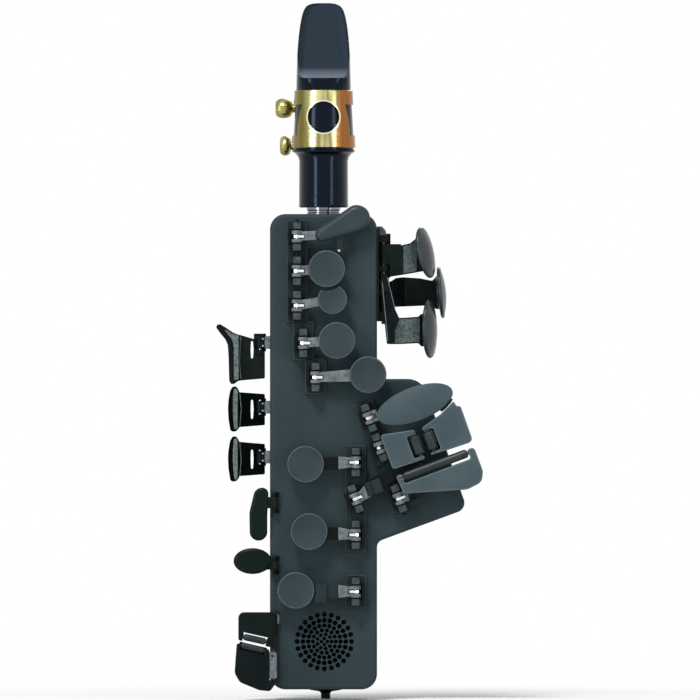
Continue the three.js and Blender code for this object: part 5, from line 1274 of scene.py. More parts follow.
TABLE_KEYS = {
    "c_sharp_key": {
        "pivot": (0, c_sharp_hub),
        "corners": [(0.047, -0.63, 1.4), (0.43, -0.644, 1.4), (0.43, -0.296, 1.4), (0.047, -0.215, 1.4)],
        "notch_after": 2,
        "opens": (0, 1),
        "roller_node": "table_roller_left",
        "roller_size": SHORT,
        "roller_place": (0.395, -0.472),
    },
    "low_b_key": {
        "pivot": low_b_hub,
        "corners": [
            (0.501, -0.63, 2.2), (0.993, -0.649, 2.2), (1, -0.232, 1.2), (0.957, -0.212, 0.8),
            (0.946, -0.148, 0.75), (0.884, -0.182, 6), (0.823, -0.208, 6), (0.757, -0.239, 6),
            (0.514, -0.303, 2.2),
        ],
        "notch_after": 9,
        "opens": (0, -1),
        "roller_node": "table_roller_right",
        "roller_size": SHORT,
        "roller_place": (0.551, -0.474),
    },
    "low_b_flat_key": {
        "pivot": (0, b_flat_hub),
        "corners": [
            (0.052, -0.701, 1.6), (0.067, -0.923, 1.6), (0.745, -1.125, 6), (0.925, -1.105, 4),
            (0.98, -0.995, 4), (0.98, -0.711, 1.6),
        ],
        "notch_after": 6,
        "opens": (1, 1),
        "roller_node": "table_roller_long",
        "roller_size": LONG,
        "roller_place": (0.511, -0.746),
    },
}


def table_lever(name, place):
    """The cranked arm of a table key: light at its fork, and near black under the plate as painted shade."""
    path = [(x * table_lift, z * table_lift) for x, z in arm_shares]
    arm = join(hub(), strap(path, 2, -hub_length / 2, hub_length / 2))
    far = block(table_fork_reach, table_span, -table_span, table_span, -table_span, table_span, 0)
    piece(name + "_lever", forked(cut(arm, far), 1), name, "lever", place)
    more(name + "_arm", shared(arm, far), name, "post", place)


roller_shoulder = 0.9


def roller(node, radius, length, place):
    """A turned roller with soft shoulders, along y."""
    half = length / 2
    shoulder = max(radius - roller_shoulder, roller_bore + keen)
    end = [(roller_bore, half), (shoulder, half), (radius - soft, half - crisp)]
    end.append((radius, half - roller_shoulder))
    profile = [(reach, -y) for reach, y in end] + end[::-1]
    piece(node + "_wheel", along_y(revolve(profile, 40)), node, "roller", place)


def lens_mesh(half_width, half_height, thickness, rim_share):
    """A lens of unit size, then scaled: a flat round underside, a soft rim and a domed top."""
    under, rim = lens_under_share, lens_rim_share
    top = 2 * rim - under
    profile = [(0, under), (rim_share * 0.6, under * 0.7), (rim_share, under)]
    for step in range(1, lens_steps):
        angle = -math.pi / 2 + math.pi * step / lens_steps
        profile.append((rim_share + (1 - rim_share) * math.cos(angle), rim + (rim - under) * math.sin(angle)))
    for step in range(lens_steps + 1):
        share = 1 - step / lens_steps
        profile.append((rim_share * share, top + (1 - top) * (1 - share ** 2)))
    return moved(revolve(profile), Matrix.Diagonal((half_width, half_height, thickness, 1)))


def add_g_sharp_key():
    name = "g_sharp_key"
    place = at(TABLE, 0, 0, rod_height)
    touch = lens_mesh(g_sharp_width * table_span, g_sharp_height * table_span, g_sharp_thickness, 0.93)
    touch = shifted(touch, g_sharp_x * table_span, g_sharp_y * table_span, table_lift)
    table_lever(name, place)
    more(name + "_touch", touch, name, "plate", place)
    # A thin near-black crescent under the lens's lower right edge, a painted shade for the shadow between the
    # lens and the low B lug
    outer, inner = [], []
    for step in range(skirt_steps + 1):
        angle = math.radians(skirt_start - skirt_turn * step)
        for edge, growth in ((outer, skirt_out + skirt_spread * step), (inner, -skirt_in)):
            x = g_sharp_x + (g_sharp_width + growth) * math.cos(angle)
            y = g_sharp_y + (g_sharp_height + growth) * math.sin(angle)
            edge.append(Vector((x, y)) * table_span)
    skirt = slab(ordered(outer + inner[::-1]), table_lift + 0.2, table_lift + 1.4, 0.1)
    more(name + "_skirt", skirt, name, "black", place)
    add_spring(name, 1, place)


def notched_plate(key, corners, middle, half):
    """The plate of a table key, with its roller's notch between two of its corners."""
    axis, way = key["opens"]
    after = key["notch_after"]
    edge = (corners[after - 1][axis] + corners[after % len(corners)][axis]) / 2
    inner = middle[axis] - way * (key["roller_size"]["roller"][0] + key["roller_size"]["room"])
    first = way if axis else -way
    notch = []
    for depth, turn, radius in zip((edge, inner, inner, edge), (first, first, -first, -first), notch_radii):
        along = middle[1 - axis] + turn * half
        notch.append((along, depth, radius) if axis else (depth, along, radius))
    outline = rounded(corners[:after] + notch + corners[after:], 6)
    return slab(outline, table_lift, table_top, table_edge, table_edge, rim_steps, 0.15)


def add_table_key(name, key):
    place = at(TABLE, *key["pivot"], rod_height)
    pivot_x, pivot_y = key["pivot"]
    corners = [(x * table_span - pivot_x, y * table_span - pivot_y, bend) for x, y, bend in key["corners"]]
    a, b = key["roller_place"]
    middle = a * table_span - pivot_x, b * table_span - pivot_y
    radius, length = key["roller_size"]["roller"]
    height = key["roller_size"]["height"]
    half = length / 2 + key["roller_size"]["end_room"]
    across = key["opens"][0] == 1
    if name == "low_b_key":
        add_low_b_lever(name, place, corners[0])
    else:
        table_lever(name, place)
    more(name + "_plate", notched_plate(key, corners, middle, half), name, "plate", place)
    add_axle(name, *middle, half, height, place, across)
    roller(key["roller_node"], radius, length, at(place, *middle, height, math.pi / 2 if across else 0))
    add_spring(name, 1, place)


wide_clip = (1, 0.25)
tall_clip = (0.3, 0.85)


def clip(centre_x, centre_y, half_x, half_y, low, high):
    return block(centre_x - half_x, centre_x + half_x, centre_y - half_y, centre_y + half_y, low, high, keen)


def add_axle(name, a, b, half, height, place, across):
    """The bright pin of a roller with a collar at each end, and the small clips that hold it."""
    make, first, middle = (rod_x, b, a) if across else (rod_y, a, b)
    reach = half + axle_end
    bright = [make(axle_radius, first, height, middle - reach, middle + reach, pin_sides, keen)]
    for way in (-1, 1):
        ends = sorted((middle + way * half, middle + way * (half - collar_width)))
        bright.append(make(collar_radius, first, height, *ends, pin_sides, keen))
    low, high = table_top - clip_sink, table_top + clip_sink
    ways = (-clip_apart, clip_apart)
    if across:
        clips = [clip(a - half - 0.5, b + way, *wide_clip, low, high + keen) for way in ways]
    else:
        clips = [clip(a + way, b + half + crisp, *tall_clip, low, high) for way in ways]
        clips.append(rod_z(0.5, a, b - half - 0.7, low, high, pin_sides, 0.15))
    more(name + "_axle", merged(*bright), name, "dark_steel", place)
    more(name + "_clips", merged(*clips), name, "lever" if across else "cap", place)


low_b_shares = {
    "land_width": 0.118, "land_length": 0.222, "bend": 0.212, "bend_below": 0.035, "bend_above": 0.148,
    "foot": 0.059, "shoulder": 0.064, "riser": 0.08, "split": 0.165, "fold_below": 0.03, "fold_above": 0.125,
}
low_b_arm = (-2.1, 0.7)
low_b_riser = (-2, table_lift + 0.4)


def add_low_b_lever(name, place, corner):
    """The wide arm of low B, which runs flat to a riser under the near corner of its plate."""
    land_a, land_low, _ = corner
    size = {part: table_span * share for part, share in low_b_shares.items()}
    land_high, end = land_low + size["land_width"], land_a + size["land_length"]
    foot, bend, split = size["foot"], size["bend"], size["split"]
    web = rounded([
        (0, -foot, soft), (bend, -size["bend_below"], 1), (land_a, land_low, 1), (end, land_low, soft),
        (end, land_high, soft), (land_a, land_high, 1), (bend, size["bend_above"], 1),
        (size["shoulder"], foot, 1), (0, foot, soft),
    ], 4)
    arm = slab(web, *low_b_arm, eased)
    riser = block(end - size["riser"], end, land_low, land_high, *low_b_riser, eased)
    near = block(-table_span, split, -table_span, table_span, -table_span, table_span, 0)
    bent = [(split + x, z) for x, z in low_b_fold]
    fold = strap(bent, 1.2, -size["fold_below"], size["fold_above"], 0.5, fine)
    piece(name + "_lever", forked(join(hub(), shared(arm, near)), 1), name, "lever", place)
    # The part of the arm under the plate takes the near-black post finish as painted shade
    more(name + "_riser", merged(cut(arm, near), riser), name, "post", place)
    more(name + "_fold", fold, name, "base", place)


add_g_sharp_key()
for table_name, table_key in TABLE_KEYS.items():
    add_table_key(table_name, table_key)

# Mouthpiece, reed and ligature, counted from the foot of the mouthpiece

mouthpiece_length = 92.4
mouthpiece_bottom = body_height + 3
MOUTH = at(PANEL, 0, mouthpiece_bottom, 0)
flare_radius = 14.15
shank_bore = 7.95
shank_depth = 24
table_depth = 9.8
beak_tip = -7.5
beak_start = 0.628
beak_width = 0.861
shoulder_depth = 2.4
shoulder_length = 4.4
beak_round = 2
beak_corner = 3
beak_border = 0.6
facing_start = 0.76
facing_fall = 1.3
bore_shares = (0.62, 0.68, 0.72, 0.965)
chamber_radius = 6
window_half = 5.4
foot_ring = [(-0.5, 0.35), (0.12, 0.45), (0.12, 1.05), (-0.5, 1.15)]
band_low = (0.2835, 0.962)
band_high = (0.575, 0.868)
stations = [
    (0, 0.75, 2),
    (0.006, 0.777, 2),
    (0.012, 0.783, 2),
    (0.228, 0.777, 2),
    (0.247, 0.81, 2),
    (0.262, 0.885, 2),
    (0.2715, 0.985, 2),
    (0.277, 1, 2),
    (0.281, 0.992, 2),
    (*band_low, 2),
    (0.424, 0.92, 2),
    (*band_high, 2),
    (0.61, 0.866, 2.6),
    (0.65, 0.86, 3),
    (0.745, 0.844, 3.4),
    (0.833, 0.799, 4),
    (0.891, 0.752, 5),
    (0.935, 0.698, 6),
    (0.962, 0.645, 6),
    (0.976, 0.598, 7),
    (0.986, 0.545, 7),
    (0.993, 0.47, 8),
    (0.997, 0.38, 8),
    (1, 0.22, 8),
]
ring_points = 96


def station_at(share):
    """Width and squareness at a share of the height, smooth between the stations."""
    for (h0, w0, s0), (h1, w1, s1) in zip(stations, stations[1:]):
        if h0 <= share <= h1:
            t = (share - h0) / (h1 - h0)
            return w0 + (w1 - w0) * t, s0 + (s1 - s0) * t
    return stations[-1][1:]


def front_limit(share):
    """How far forward the beak reaches: a slanted flat that ends below in a concave shoulder."""
    start = beak_start - 0.005
    if share < start:
        return flare_radius
    foot = flare_radius * beak_width - shoulder_depth
    flat = foot + (beak_tip - foot) * (share - start) / (1 - start)
    rise = max(1 - (share - start) * mouthpiece_length / shoulder_length, 0)
    return flat + (shoulder_depth + 2.5) * (1 - math.sqrt(max(1 - rise ** 2, 0)))


def table_back(share):
    """The flat that the reed lies on, which curves away toward the tip."""
    return -table_depth + facing_fall * max((share - facing_start) / (1 - facing_start), 0) ** 2


def mouth_ring(share):
    width, square = station_at(share)
    radius = flare_radius * width
    depth = max(radius, flare_radius * beak_width)
    back = table_back(share) if share > band_low[0] + 0.0015 else -depth
    ring = []
    for index in range(ring_points):
        angle = 2 * math.pi * index / ring_points
        across, deep = (math.copysign(abs(v) ** (2 / square), v) for v in (math.cos(angle), math.sin(angle)))
        reach = abs(radius * across)
        past = min(max(reach - radius + beak_border + beak_corner, 0) / beak_corner, 1)
        front = front_limit(share - beak_corner * (1 - math.sqrt(1 - past ** 2)) / mouthpiece_length)
        bow = max(reach - radius + beak_round, 0) / beak_round
        rounded_off = beak_round * (1 - math.sqrt(max(1 - bow ** 2, 0)))
        z = max(min(max(depth * deep, back), front - rounded_off), back)
        ring.append(Vector((radius * across, mouthpiece_length * share, z)))
    return ring


def mark_beak(mesh):
    """Writes how far each vertex lies inside the duller patch of the beak, in millimetres, and how far up the
    shoulder, where a reflection is painted.
    """
    mark = mesh.attributes.new("beak", "FLOAT", "POINT")
    foot = mesh.attributes.new("foot", "FLOAT", "POINT")
    low, corner = mouthpiece_length * beak_start + 0.2, beak_corner
    for vertex in mesh.vertices:
        x, y, z = vertex.co
        share = min(max(y / mouthpiece_length, 0), 1)
        from_side, from_foot = flare_radius * station_at(share)[0] - beak_border - abs(x), y - low
        if from_side < corner and from_foot < corner:
            inside = corner - math.hypot(corner - from_side, corner - from_foot)
        else:
            inside = min(from_side, from_foot)
        in_front = z > table_back(share) + 0.9 and y > low - corner
        mark.data[vertex.index].value = min(inside, mouthpiece_length - 0.5 - y) if in_front else -1
        # How far up the concave shoulder, for the painted reflection there
        foot.data[vertex.index].value = (y - low) / shoulder_length


def loft(rings):
    vertices, faces = capped(rings)
    count = len(rings[0])
    ends = [list(range(count)), list(range(len(vertices) - count, len(vertices)))[::-1]]
    return mesh_of(vertices, ends + turned_over(faces[2:]))


# Rings of the mouthpiece, as shares of its length: even ones, and close ones at the beak's shoulder and tip
even_rings = 90
shoulder_rings, shoulder_start, shoulder_step = 30, beak_start - 0.012, 0.0026
tip_rings, tip_start, tip_step = 7, 0.97, 0.005
least_step = 0.001
window_depth = 3.3


def ring_shares():
    even = {step / even_rings for step in range(even_rings + 1)}
    shoulder = {shoulder_start + shoulder_step * step for step in range(shoulder_rings)}
    tip = {tip_start + tip_step * step for step in range(tip_rings)}
    shares = sorted({round(share, 4) for share, *_ in stations} | even | shoulder | tip)
    return [share for share, after in zip(shares, shares[1:] + [2]) if after - share > least_step]


def add_mouthpiece():
    body = loft([mouth_ring(share) for share in ring_shares()])
    chamber_top, window_low, throat_top, window_high = (mouthpiece_length * share for share in bore_shares)
    back = -table_depth - overrun
    mesh = cut(
        body,
        rod_y(shank_bore, 0, 0, -overrun, shank_depth, round_sides, 0.5),
        rod_y(chamber_radius, 0, 0, shank_depth - overrun, chamber_top, round_sides, 0.5),
        block(-window_half, window_half, window_low, window_high, back, window_depth - table_depth, 0),
        block(-window_half, window_half, window_low, throat_top, back, 0, 0),
    )
    mark_beak(mesh)
    piece("mouthpiece_body", mesh, "mouthpiece", "ebonite", MOUTH)
    rim = flare_radius * stations[2][1]
    ring = along_y(revolve([(rim + out, height) for out, height in foot_ring]))
    more("mouthpiece_foot_ring", ring, "mouthpiece", "dark_steel", MOUTH)


def envelope_radius(y, growth):
    low, high = (share * mouthpiece_length for share in (band_low[0], band_high[0]))
    low_radius, high_radius = (flare_radius * width + growth for width in (band_low[1], band_high[1]))
    return low_radius + (high_radius - low_radius) * (y - low) / (high - low)


reed_shares = (0.295, 0.985, 0.6)
reed_heel = 2.9
reed_gap = 0.05
reed_half = 7.6


def add_reed():
    start, end, vamp = (mouthpiece_length * share for share in reed_shares)
    section = [(start, 0), (start, reed_heel), (vamp, reed_heel), (vamp + 6, 2.2), (end, 0.4), (end, 0)]
    outline = [Vector((y, -table_depth - reed_gap - thick)) for y, thick in section]
    bar = moved(slab(outline[::-1], -reed_half - keen, reed_half + keen, 0), UPRIGHT)
    low, high = start - overrun, vamp
    stock = [(0, low), (envelope_radius(start, -reed_gap), low), (envelope_radius(high, -reed_gap), high)]
    stock.append((0, high))
    tip = slab(box_outline(-reed_half, reed_half, vamp - overrun, end + 0.5, 3), -body_depth, 0, 0)
    piece("reed_blade", shared(bar, join(along_y(revolve(stock)), tip)), "reed", "cane", MOUTH)


lig_bottom, lig_top = mouthpiece_length * 0.292, mouthpiece_length * 0.572
lig_low, lig_high = mouthpiece_length * 0.352, mouthpiece_length * 0.502
lig_clearance = 0.15
lig_thickness = 0.7
lig_window = mouthpiece_length * 0.44
lig_window_radius = 7.1
lig_ring_radius = 7.75
lig_gap_half = 3.4
lug_radius = 2.3
lug_near, lug_far, lug_outer = 4.4, 10.6, 12.6
screw_z = -flare_radius * band_high[1] - 2.2
screw_heights = {"lower": mouthpiece_length * 0.304, "upper": mouthpiece_length * 0.487}
screw_sizes = {"lower": (2.2, 5), "upper": (1.5, 7.7)}
screw_shaft, screw_collar, screw_head, screw_tail = 1.2, 2, 4.5, 1.4
knob_neck = 1.8
knob_ridges, knob_ridge, knob_steps = 24, 0.05, 14


def band_profile(y0, y1, inner, outer):
    """The section of a band round the mouthpiece, with a soft outer rim."""
    edge = (outer - inner) * 0.35
    return [
        (envelope_radius(y0, inner), y0),
        (envelope_radius(y0, outer) - edge, y0),
        (envelope_radius(y0, outer), y0 + edge),
        (envelope_radius(y1, outer), y1 - edge),
        (envelope_radius(y1, outer) - edge, y1),
        (envelope_radius(y1, inner), y1),
    ]


def lig_band(margin, outer):
    """The band without its openings, shorter by a margin at each end."""
    return along_y(revolve(band_profile(lig_bottom + margin, lig_top - margin, lig_clearance, outer), 120))


window_edge = ((9.7, lig_high), (11.9, (lig_low + lig_high) / 2), (11.9, lig_low))
window_back = -4.4
window_steps = 16


def side_window(way):
    """The opening beside the round window, whose inner edge is a curve."""
    top, bulge, foot = (Vector((way * x, y)) for x, y in window_edge)
    shares = [step / window_steps for step in range(window_steps + 1)]
    curve = [top.lerp(bulge, share).lerp(bulge.lerp(foot, share), share) for share in shares]
    outline = [Vector((way * body_width, lig_low)), Vector((way * body_width, lig_high)), *curve]
    return slab(outline[::-1] if way < 0 else outline, window_back, body_depth, 0)


def add_ligature():
    outer = lig_clearance + lig_thickness
    split = block(-lig_gap_half, lig_gap_half, lig_bottom - 1, lig_top + 1, -body_depth, -table_depth, 0)
    hole = hole_z(lig_window_radius, 0, lig_window, 0, body_depth)
    sleeve = cut(lig_band(0, outer), split, hole, side_window(-1), side_window(1))
    through = hole_z(lig_window_radius, 0, lig_window, -overrun, body_depth + overrun)
    ring = cut(hole_z(lig_ring_radius, 0, lig_window, 0, body_depth), through)
    lugs = [
        rod_x(lug_radius, y, screw_z, *ends)
        for y in screw_heights.values() for ends in ((-lug_outer, -lug_near), (lug_near, lug_far))
    ]
    piece("ligature_band", merged(sleeve, *lugs), "ligature", "gold", MOUTH)
    more("ligature_ring", shared(ring, lig_band(1, outer + 0.35)), "ligature", "gold_ring", MOUTH)


def knob(neck_length, length):
    """The rounded head of a ligature screw, with fine ridges round it."""
    rows = [(0, neck_length - gap), (knob_neck, neck_length - gap)]
    for step in range(knob_steps + 1):
        angle = -math.pi / 2 + math.pi * step / knob_steps
        reach = (screw_head - knob_ridge - knob_neck) * max(math.cos(angle), 0) ** 0.8
        rows.append((knob_neck + reach, neck_length + length / 2 * (1 + math.sin(angle))))
    mesh = revolve([*rows, (0, neck_length + length)], knob_ridges * 4)
    for vertex in mesh.vertices:
        reach = math.hypot(vertex.co.x, vertex.co.y)
        if reach > screw_head * 0.8:
            wave = 1 + knob_ridge / reach * math.cos(math.atan2(vertex.co.y, vertex.co.x) * knob_ridges)
            vertex.co.x *= wave
            vertex.co.y *= wave
    return mesh


def add_ligature_screws():
    for name, (neck_length, length) in screw_sizes.items():
        shaft = barrel(screw_shaft, -lug_far - screw_tail - lug_outer, neck_length, 24)
        collar = barrel(screw_collar, gap, neck_length + gap, 32, 0.15)
        mesh = merged(knob(neck_length, length), shaft, collar)
        node = f"ligature_screw_{name}"
        place = at(MOUTH, -lug_outer, screw_heights[name], screw_z) @ Matrix.Rotation(-math.pi / 2, 4, "Y")
        piece(node + "_knob", mesh, node, "gold_knob", place)


neck_bore = 4
neck_step = 6.6
neck_tube = 17
neck_flange = 10
cork_radii = (6.9, 7.9)


def add_neck():
    flange, low, groove, waist = neck_flange, -wall - 0.05, neck_radius - 0.5, neck_radius - 0.75
    high = neck_step + neck_tube
    profile = [
        (neck_bore, -wall - 2), (flange, -wall - 2), (flange, low), (neck_radius, low), (neck_radius, 0.4),
        (groove, 0.9), (groove, 1.5), (neck_radius, 2), (neck_radius, neck_step), (waist, neck_step),
        (waist, high), (neck_bore, high),
    ]
    place = at(PANEL, 0, body_height, 0)
    piece("neck_tenon_tube", along_y(revolve(profile)), "neck_tenon", "neck", place)
    inner, outer = cork_radii
    low = neck_step + 0.05
    cork = along_y(revolve([(inner, low), (outer, low), (outer, high), (inner, high)]))
    piece("tenon_cork_ring", cork, "tenon_cork", "cork", place)


# The third colour is a painted reflection on the concave shoulder of the beak
add_beak_patch(FINISHES["ebonite"], srgb(16, 25, 29), srgb(104, 110, 122), 0.62)
add_painted_lacquer_reflections(FINISHES["gold"])
add_mouthpiece()
add_reed()
add_ligature()
add_ligature_screws()
add_neck()

# Palm keys on the right side

palm_x = side + 2.8
palm_z = face - 5.2
palm_reach = body_height * 0.115
palm_depth = palm_reach * 0.366
palm_hub_radius = 1.55
palm_post_half = 1.6
palm_base = (body_height * 0.774, body_height * 0.974)
palm_span_shares = [(0.774, 0.7935), (0.8295, 0.8407), (0.878, 0.891), (0.9397, 0.959)]
palm_strap = 2
palm_line_radius = 0.18
palm_foot = 0.7
palm_back = (palm_z - 4.1, palm_z - 2.4)
palm_base_half = 4.2
palm_back_shares = [(0.8295, 0.878, 2.6), (0.866, 0.959, 3.3), (0.774, 0.7935, 1.2), (0.774, 0.8407, -0.7)]
crest_reach = 2.2
rod_end = 1.2
crest_shares = (0.955, 0.966)
grip_shares = {"palm_d_key": (1, 0.06, 0.94), "palm_f_key": (0, 0.12, 0.92)}
palm_line_shares = [((-0.02, 0.858), (0.085, 0.732)), ((0.075, 0.867), (0.215, 0.8))]
PALM_KEYS = {
    "palm_d_key": {
        "hub": (0.8925, 0.9383),
        "stem": [(0, 0), (0.325, -0.024)],
        "path": [(0.12, -0.009), (0.325, -0.024), (0.61, -0.28), (0.77, -0.3)],
        "outline": [
            (0.06, 0.15), (0.337, 0.165), (0.489, 0.2), (0.575, 0.27), (0.62, 0.33), (0.79, 0.33),
            (0.79, -0.3), (0.672, -0.32), (0.337, -0.38), (0.075, -0.42),
        ],
        "touch": (0.715, 0.9178, -0.3),
        "size": (0.4756, 0.179),
        "lean": 11.6,
        "turn": 20,
    },
    "palm_e_flat_key": {
        "hub": (0.7953, 0.828),
        "stem": [(0, 0), (0.16, -0.34)],
        "path": [(0.13, -0.28), (0.366, -0.707), (1.05, -0.707)],
        "outline": [
            (0.06, 0.38), (0.169, 0.424), (0.23, 0.47), (0.367, 0.485), (0.672, 0.465), (0.9, 0.42),
            (0.97, 0.5), (1.04, 0.5), (1.04, -0.1), (0.97, -0.1), (0.9, -0.03), (0.215, -0.06), (0.06, -0.06),
        ],
        "touch": (1, 0.8346, -0.707),
        "size": (0.4756, 0.1545),
        "lean": 5,
        "turn": 2,
    },
    "palm_f_key": {
        "hub": (0.8421, 0.8766),
        "stem": [(0, 0), (0, 0.14)],
        "path": [(0.12, 0.1), (0.7, -0.27), (0.85, -0.3)],
        "outline": [
            (0, -0.68), (0.367, -0.675), (0.64, -0.655), (0.7, -0.6), (0.85, -0.6), (0.85, -1.2), (0.7, -1.2),
            (0.64, -1.14), (0.367, -1.155), (0.098, -1.16),
        ],
        "touch": (0.789, 0.7579, -0.309),
        "size": (0.5366, 0.179),
        "lean": 1,
        "turn": 17,
    },
}
lever_outline_shares = [
    (-0.057, 0.8607), (0.061, 0.8766), (0.22, 0.799), (0.3, 0.779), (0.12, 0.7262), (0.065, 0.7262),
]
lever_window_shares = [(0.014, 0.839), (0.085, 0.839), (0.155, 0.793), (0.062, 0.785)]
lever_back, lever_front = palm_reach * 0.1, palm_reach * 0.19


def add_palm_rail():
    low, high = palm_base
    near, front = side + palm_foot, palm_x + palm_post_half
    base = block(side, side + 0.9, low, high, palm_z - palm_base_half, palm_z + palm_base_half, crisp)
    parts = [(front, a, b, palm_z - palm_post_half, palm_z + palm_post_half) for a, b in palm_span_shares]
    parts += [(palm_x + out, a, b, *palm_back) for a, b, out in palm_back_shares]
    blocks = [
        block(near, far, body_height * a, body_height * b, z0, z1, crisp) for far, a, b, z0, z1 in parts
    ]
    crest_low, crest_bend = (body_height * share for share in crest_shares)
    crest = rounded([
        (near, high, 0.4), (near, crest_low, 0.3), (front, crest_low, 0.4), (front - 0.6, crest_bend, 0.4),
        (side + crest_reach, high, 0.5),
    ], 4)
    crest = slab(crest, palm_z - 1, palm_z + crest_reach, crisp)
    piece("palm_rail_frame", merged(base, *blocks), "palm_rail", "black")
    more("palm_rail_crest", crest, "palm_rail", "cap")
    low, high = (body_height * share for share in (palm_span_shares[0][0], palm_span_shares[3][1]))
    rod = rod_y(rod_radius, palm_x, palm_z, low - rod_end, high + rod_end)
    piece("palm_rod_pin", rod, "palm_rod", "dark_steel")


def palm_path(points):
    return [(x * palm_reach, z * palm_reach) for x, z in points]


def palm_sheet(key, path, bend, corner, margin=0):
    """A bent strap along a path, cut to a palm key's outline as seen from the front."""
    wide = strap(path, palm_strap, -2 * palm_reach, palm_reach, bend, 0)
    outline = rounded([(x * palm_reach, y * palm_reach, corner) for x, y in key["outline"][::-1]], 5)
    return shared(wide, slab(inset(outline, margin), -2 * palm_reach, palm_reach, 0))


def palm_lens(key, hub_centre, scale=1, shift=0):
    """The upright lens of a palm key, or a smaller one under it."""
    x, y, z = key["touch"]
    half_height, thickness = (share * palm_reach for share in key["size"])
    lens = lens_mesh(palm_depth * scale, half_height * scale, thickness, 0.86)
    place = (
        Matrix.Translation((x * palm_reach, y * body_height - hub_centre, z * palm_reach))
        @ Matrix.Rotation(math.radians(key["lean"]), 4, "Z")
        @ Matrix.Rotation(math.radians(90 - key["turn"]), 4, "Y")
        @ Matrix.Translation((0, 0, shift))
    )
    return moved(lens, place)


def palm_outline_of(shares, radius, centre):
    return rounded([(x * palm_reach, y * body_height - centre, radius) for x, y in shares[::-1]], 4)


def palm_lever(centre):
    """The flat lever of the palm F key with its sunk window."""
    window = palm_outline_of(lever_window_shares, 0.5, centre)
    cutter = slab(window, (lever_back + lever_front) / 2, lever_front + overrun, 0)
    outline = palm_outline_of(lever_outline_shares, 0.8, centre)
    return cut(slab(outline, lever_back, lever_front, eased), cutter)


def add_palm_key(name, key):
    low, high = (share * body_height for share in key["hub"])
    centre = (low + high) / 2
    half = (high - low) / 2 - gap
    place = at(PANEL, palm_x, centre, palm_z)
    flat_lever = name == "palm_f_key"
    stem = strap(palm_path(key["stem"]), palm_strap, -half, half, 1, eased)
    parts = [hub(2 * half, palm_hub_radius), stem, palm_sheet(key, palm_path(key["path"]), 1.6, 1.1)]
    if flat_lever:
        parts.append(palm_lever(centre))
    piece(name + "_arm", bored(join(*parts), high - low), name, "black", place)
    lens = join(palm_lens(key, centre), palm_lens(key, centre, 0.66, -0.9))
    more(name + "_lens", lens, name, "lens", place)
    if name in grip_shares:
        add_palm_grip(name, key, place)
    # Thin lighter lines along the edges of the F lever, painted highlights
    for index, ends in enumerate(palm_line_shares if flat_lever else []):
        line = [(x * palm_reach, y * body_height - centre, lever_front) for x, y in ends]
        more(f"{name}_line_{index}", tube(line, palm_line_radius), name, "lever", place)


def add_palm_grip(name, key, place):
    """The grained face on the slanted part of a palm key's arm."""
    first, *ends = grip_shares[name]
    (x0, z0), (x1, z1) = palm_path(key["path"][first:first + 2])
    path = [(x0 + (x1 - x0) * share, z0 + (z1 - z0) * share + 0.12) for share in ends]
    more(name + "_grip", palm_sheet(key, path, 1, 0.8, 0.55), name, "grain", place)


add_palm_rail()
for palm_name, palm_key in PALM_KEYS.items():
    add_palm_key(palm_name, palm_key)

# Side keys of the right hand

side_reach = 14.4
side_arm_half = 1.2
side_blade_thickness = 2.8
side_notch = 1.8
side_bend = 2.2
side_line_radius, side_line_rise = 0.2, 0.12
hook_depth_shares = (-0.35, 0.1)
side_knuckle_reach = side_span * 0.382
side_knuckle_radius = 1.9
frame_inside = -side + wall + gap
frame_knuckle_radius = 1.8
frame_rivet_radius = 0.42
frame_pin_share = 0.368
tab_start = 2.1
skirt_margin = 1.1
frame_end_shares = (0.8, 0.55)
strip_thickness = 1.8
strip_depth = 10
trill_post_top = 3.4
slit_shares = (-0.282, -0.2)
slit_bow = 0.3
side_band_shares = (0.05, 0.27)
plain_line_shares = [(-0.63, 0.42), (-0.6, 0.05), (-0.585, -0.05), (-0.61, -0.3), (-0.63, -0.58)]
plain_slit_shares = (-0.368, 0.229)
side_blade_shares = [(-0.735, 0.14), (-0.8, -0.06), (-0.9, -0.3), (-0.91, -0.6), (-0.85, -0.92)]
plain_blade_shares = [
    (-0.62, 0.44), (-0.69, 0.58), (-0.76, 0.65), (-0.87, 0.63), (-0.94, 0.5), (-0.985, 0.25), (-1.01, -0.03),
    (-0.985, -0.4), (-0.93, -0.73), (-0.85, -0.77), (-0.735, -0.75), (-0.62, -0.61),
]
plain_band_shares = [
    (-0.69, 0.53), (-0.76, 0.6), (-0.82, 0.55), (-0.845, 0.25), (-0.85, -0.03), (-0.835, -0.4), (-0.8, -0.7),
    (-0.72, -0.7), (-0.69, -0.6),
]
hooked_blade_shares = [
    (-0.6, 0.235), (-0.7, 0.25), (-0.86, 0.32), (-1.05, 0.455), (-1.24, 0.57), (-1.34, 0.56), (-1.375, 0.47),
    (-1.23, 0.27), (-1.08, 0.09), (-1.01, -0.08), (-0.985, -0.42), (-0.965, -1.18), (-0.915, -1.3),
    (-0.81, -1.3), (-0.7, -1.215), (-0.6, -1.19),
]
hooked_band_shares = [
    (-0.66, 0.21), (-0.72, 0.22), (-0.88, 0.28), (-1.06, 0.4), (-1.12, 0.38), (-0.98, 0.22), (-0.86, 0.06),
    (-0.82, -0.2), (-0.81, -1.2), (-0.7, -1.16), (-0.66, -1.14),
]
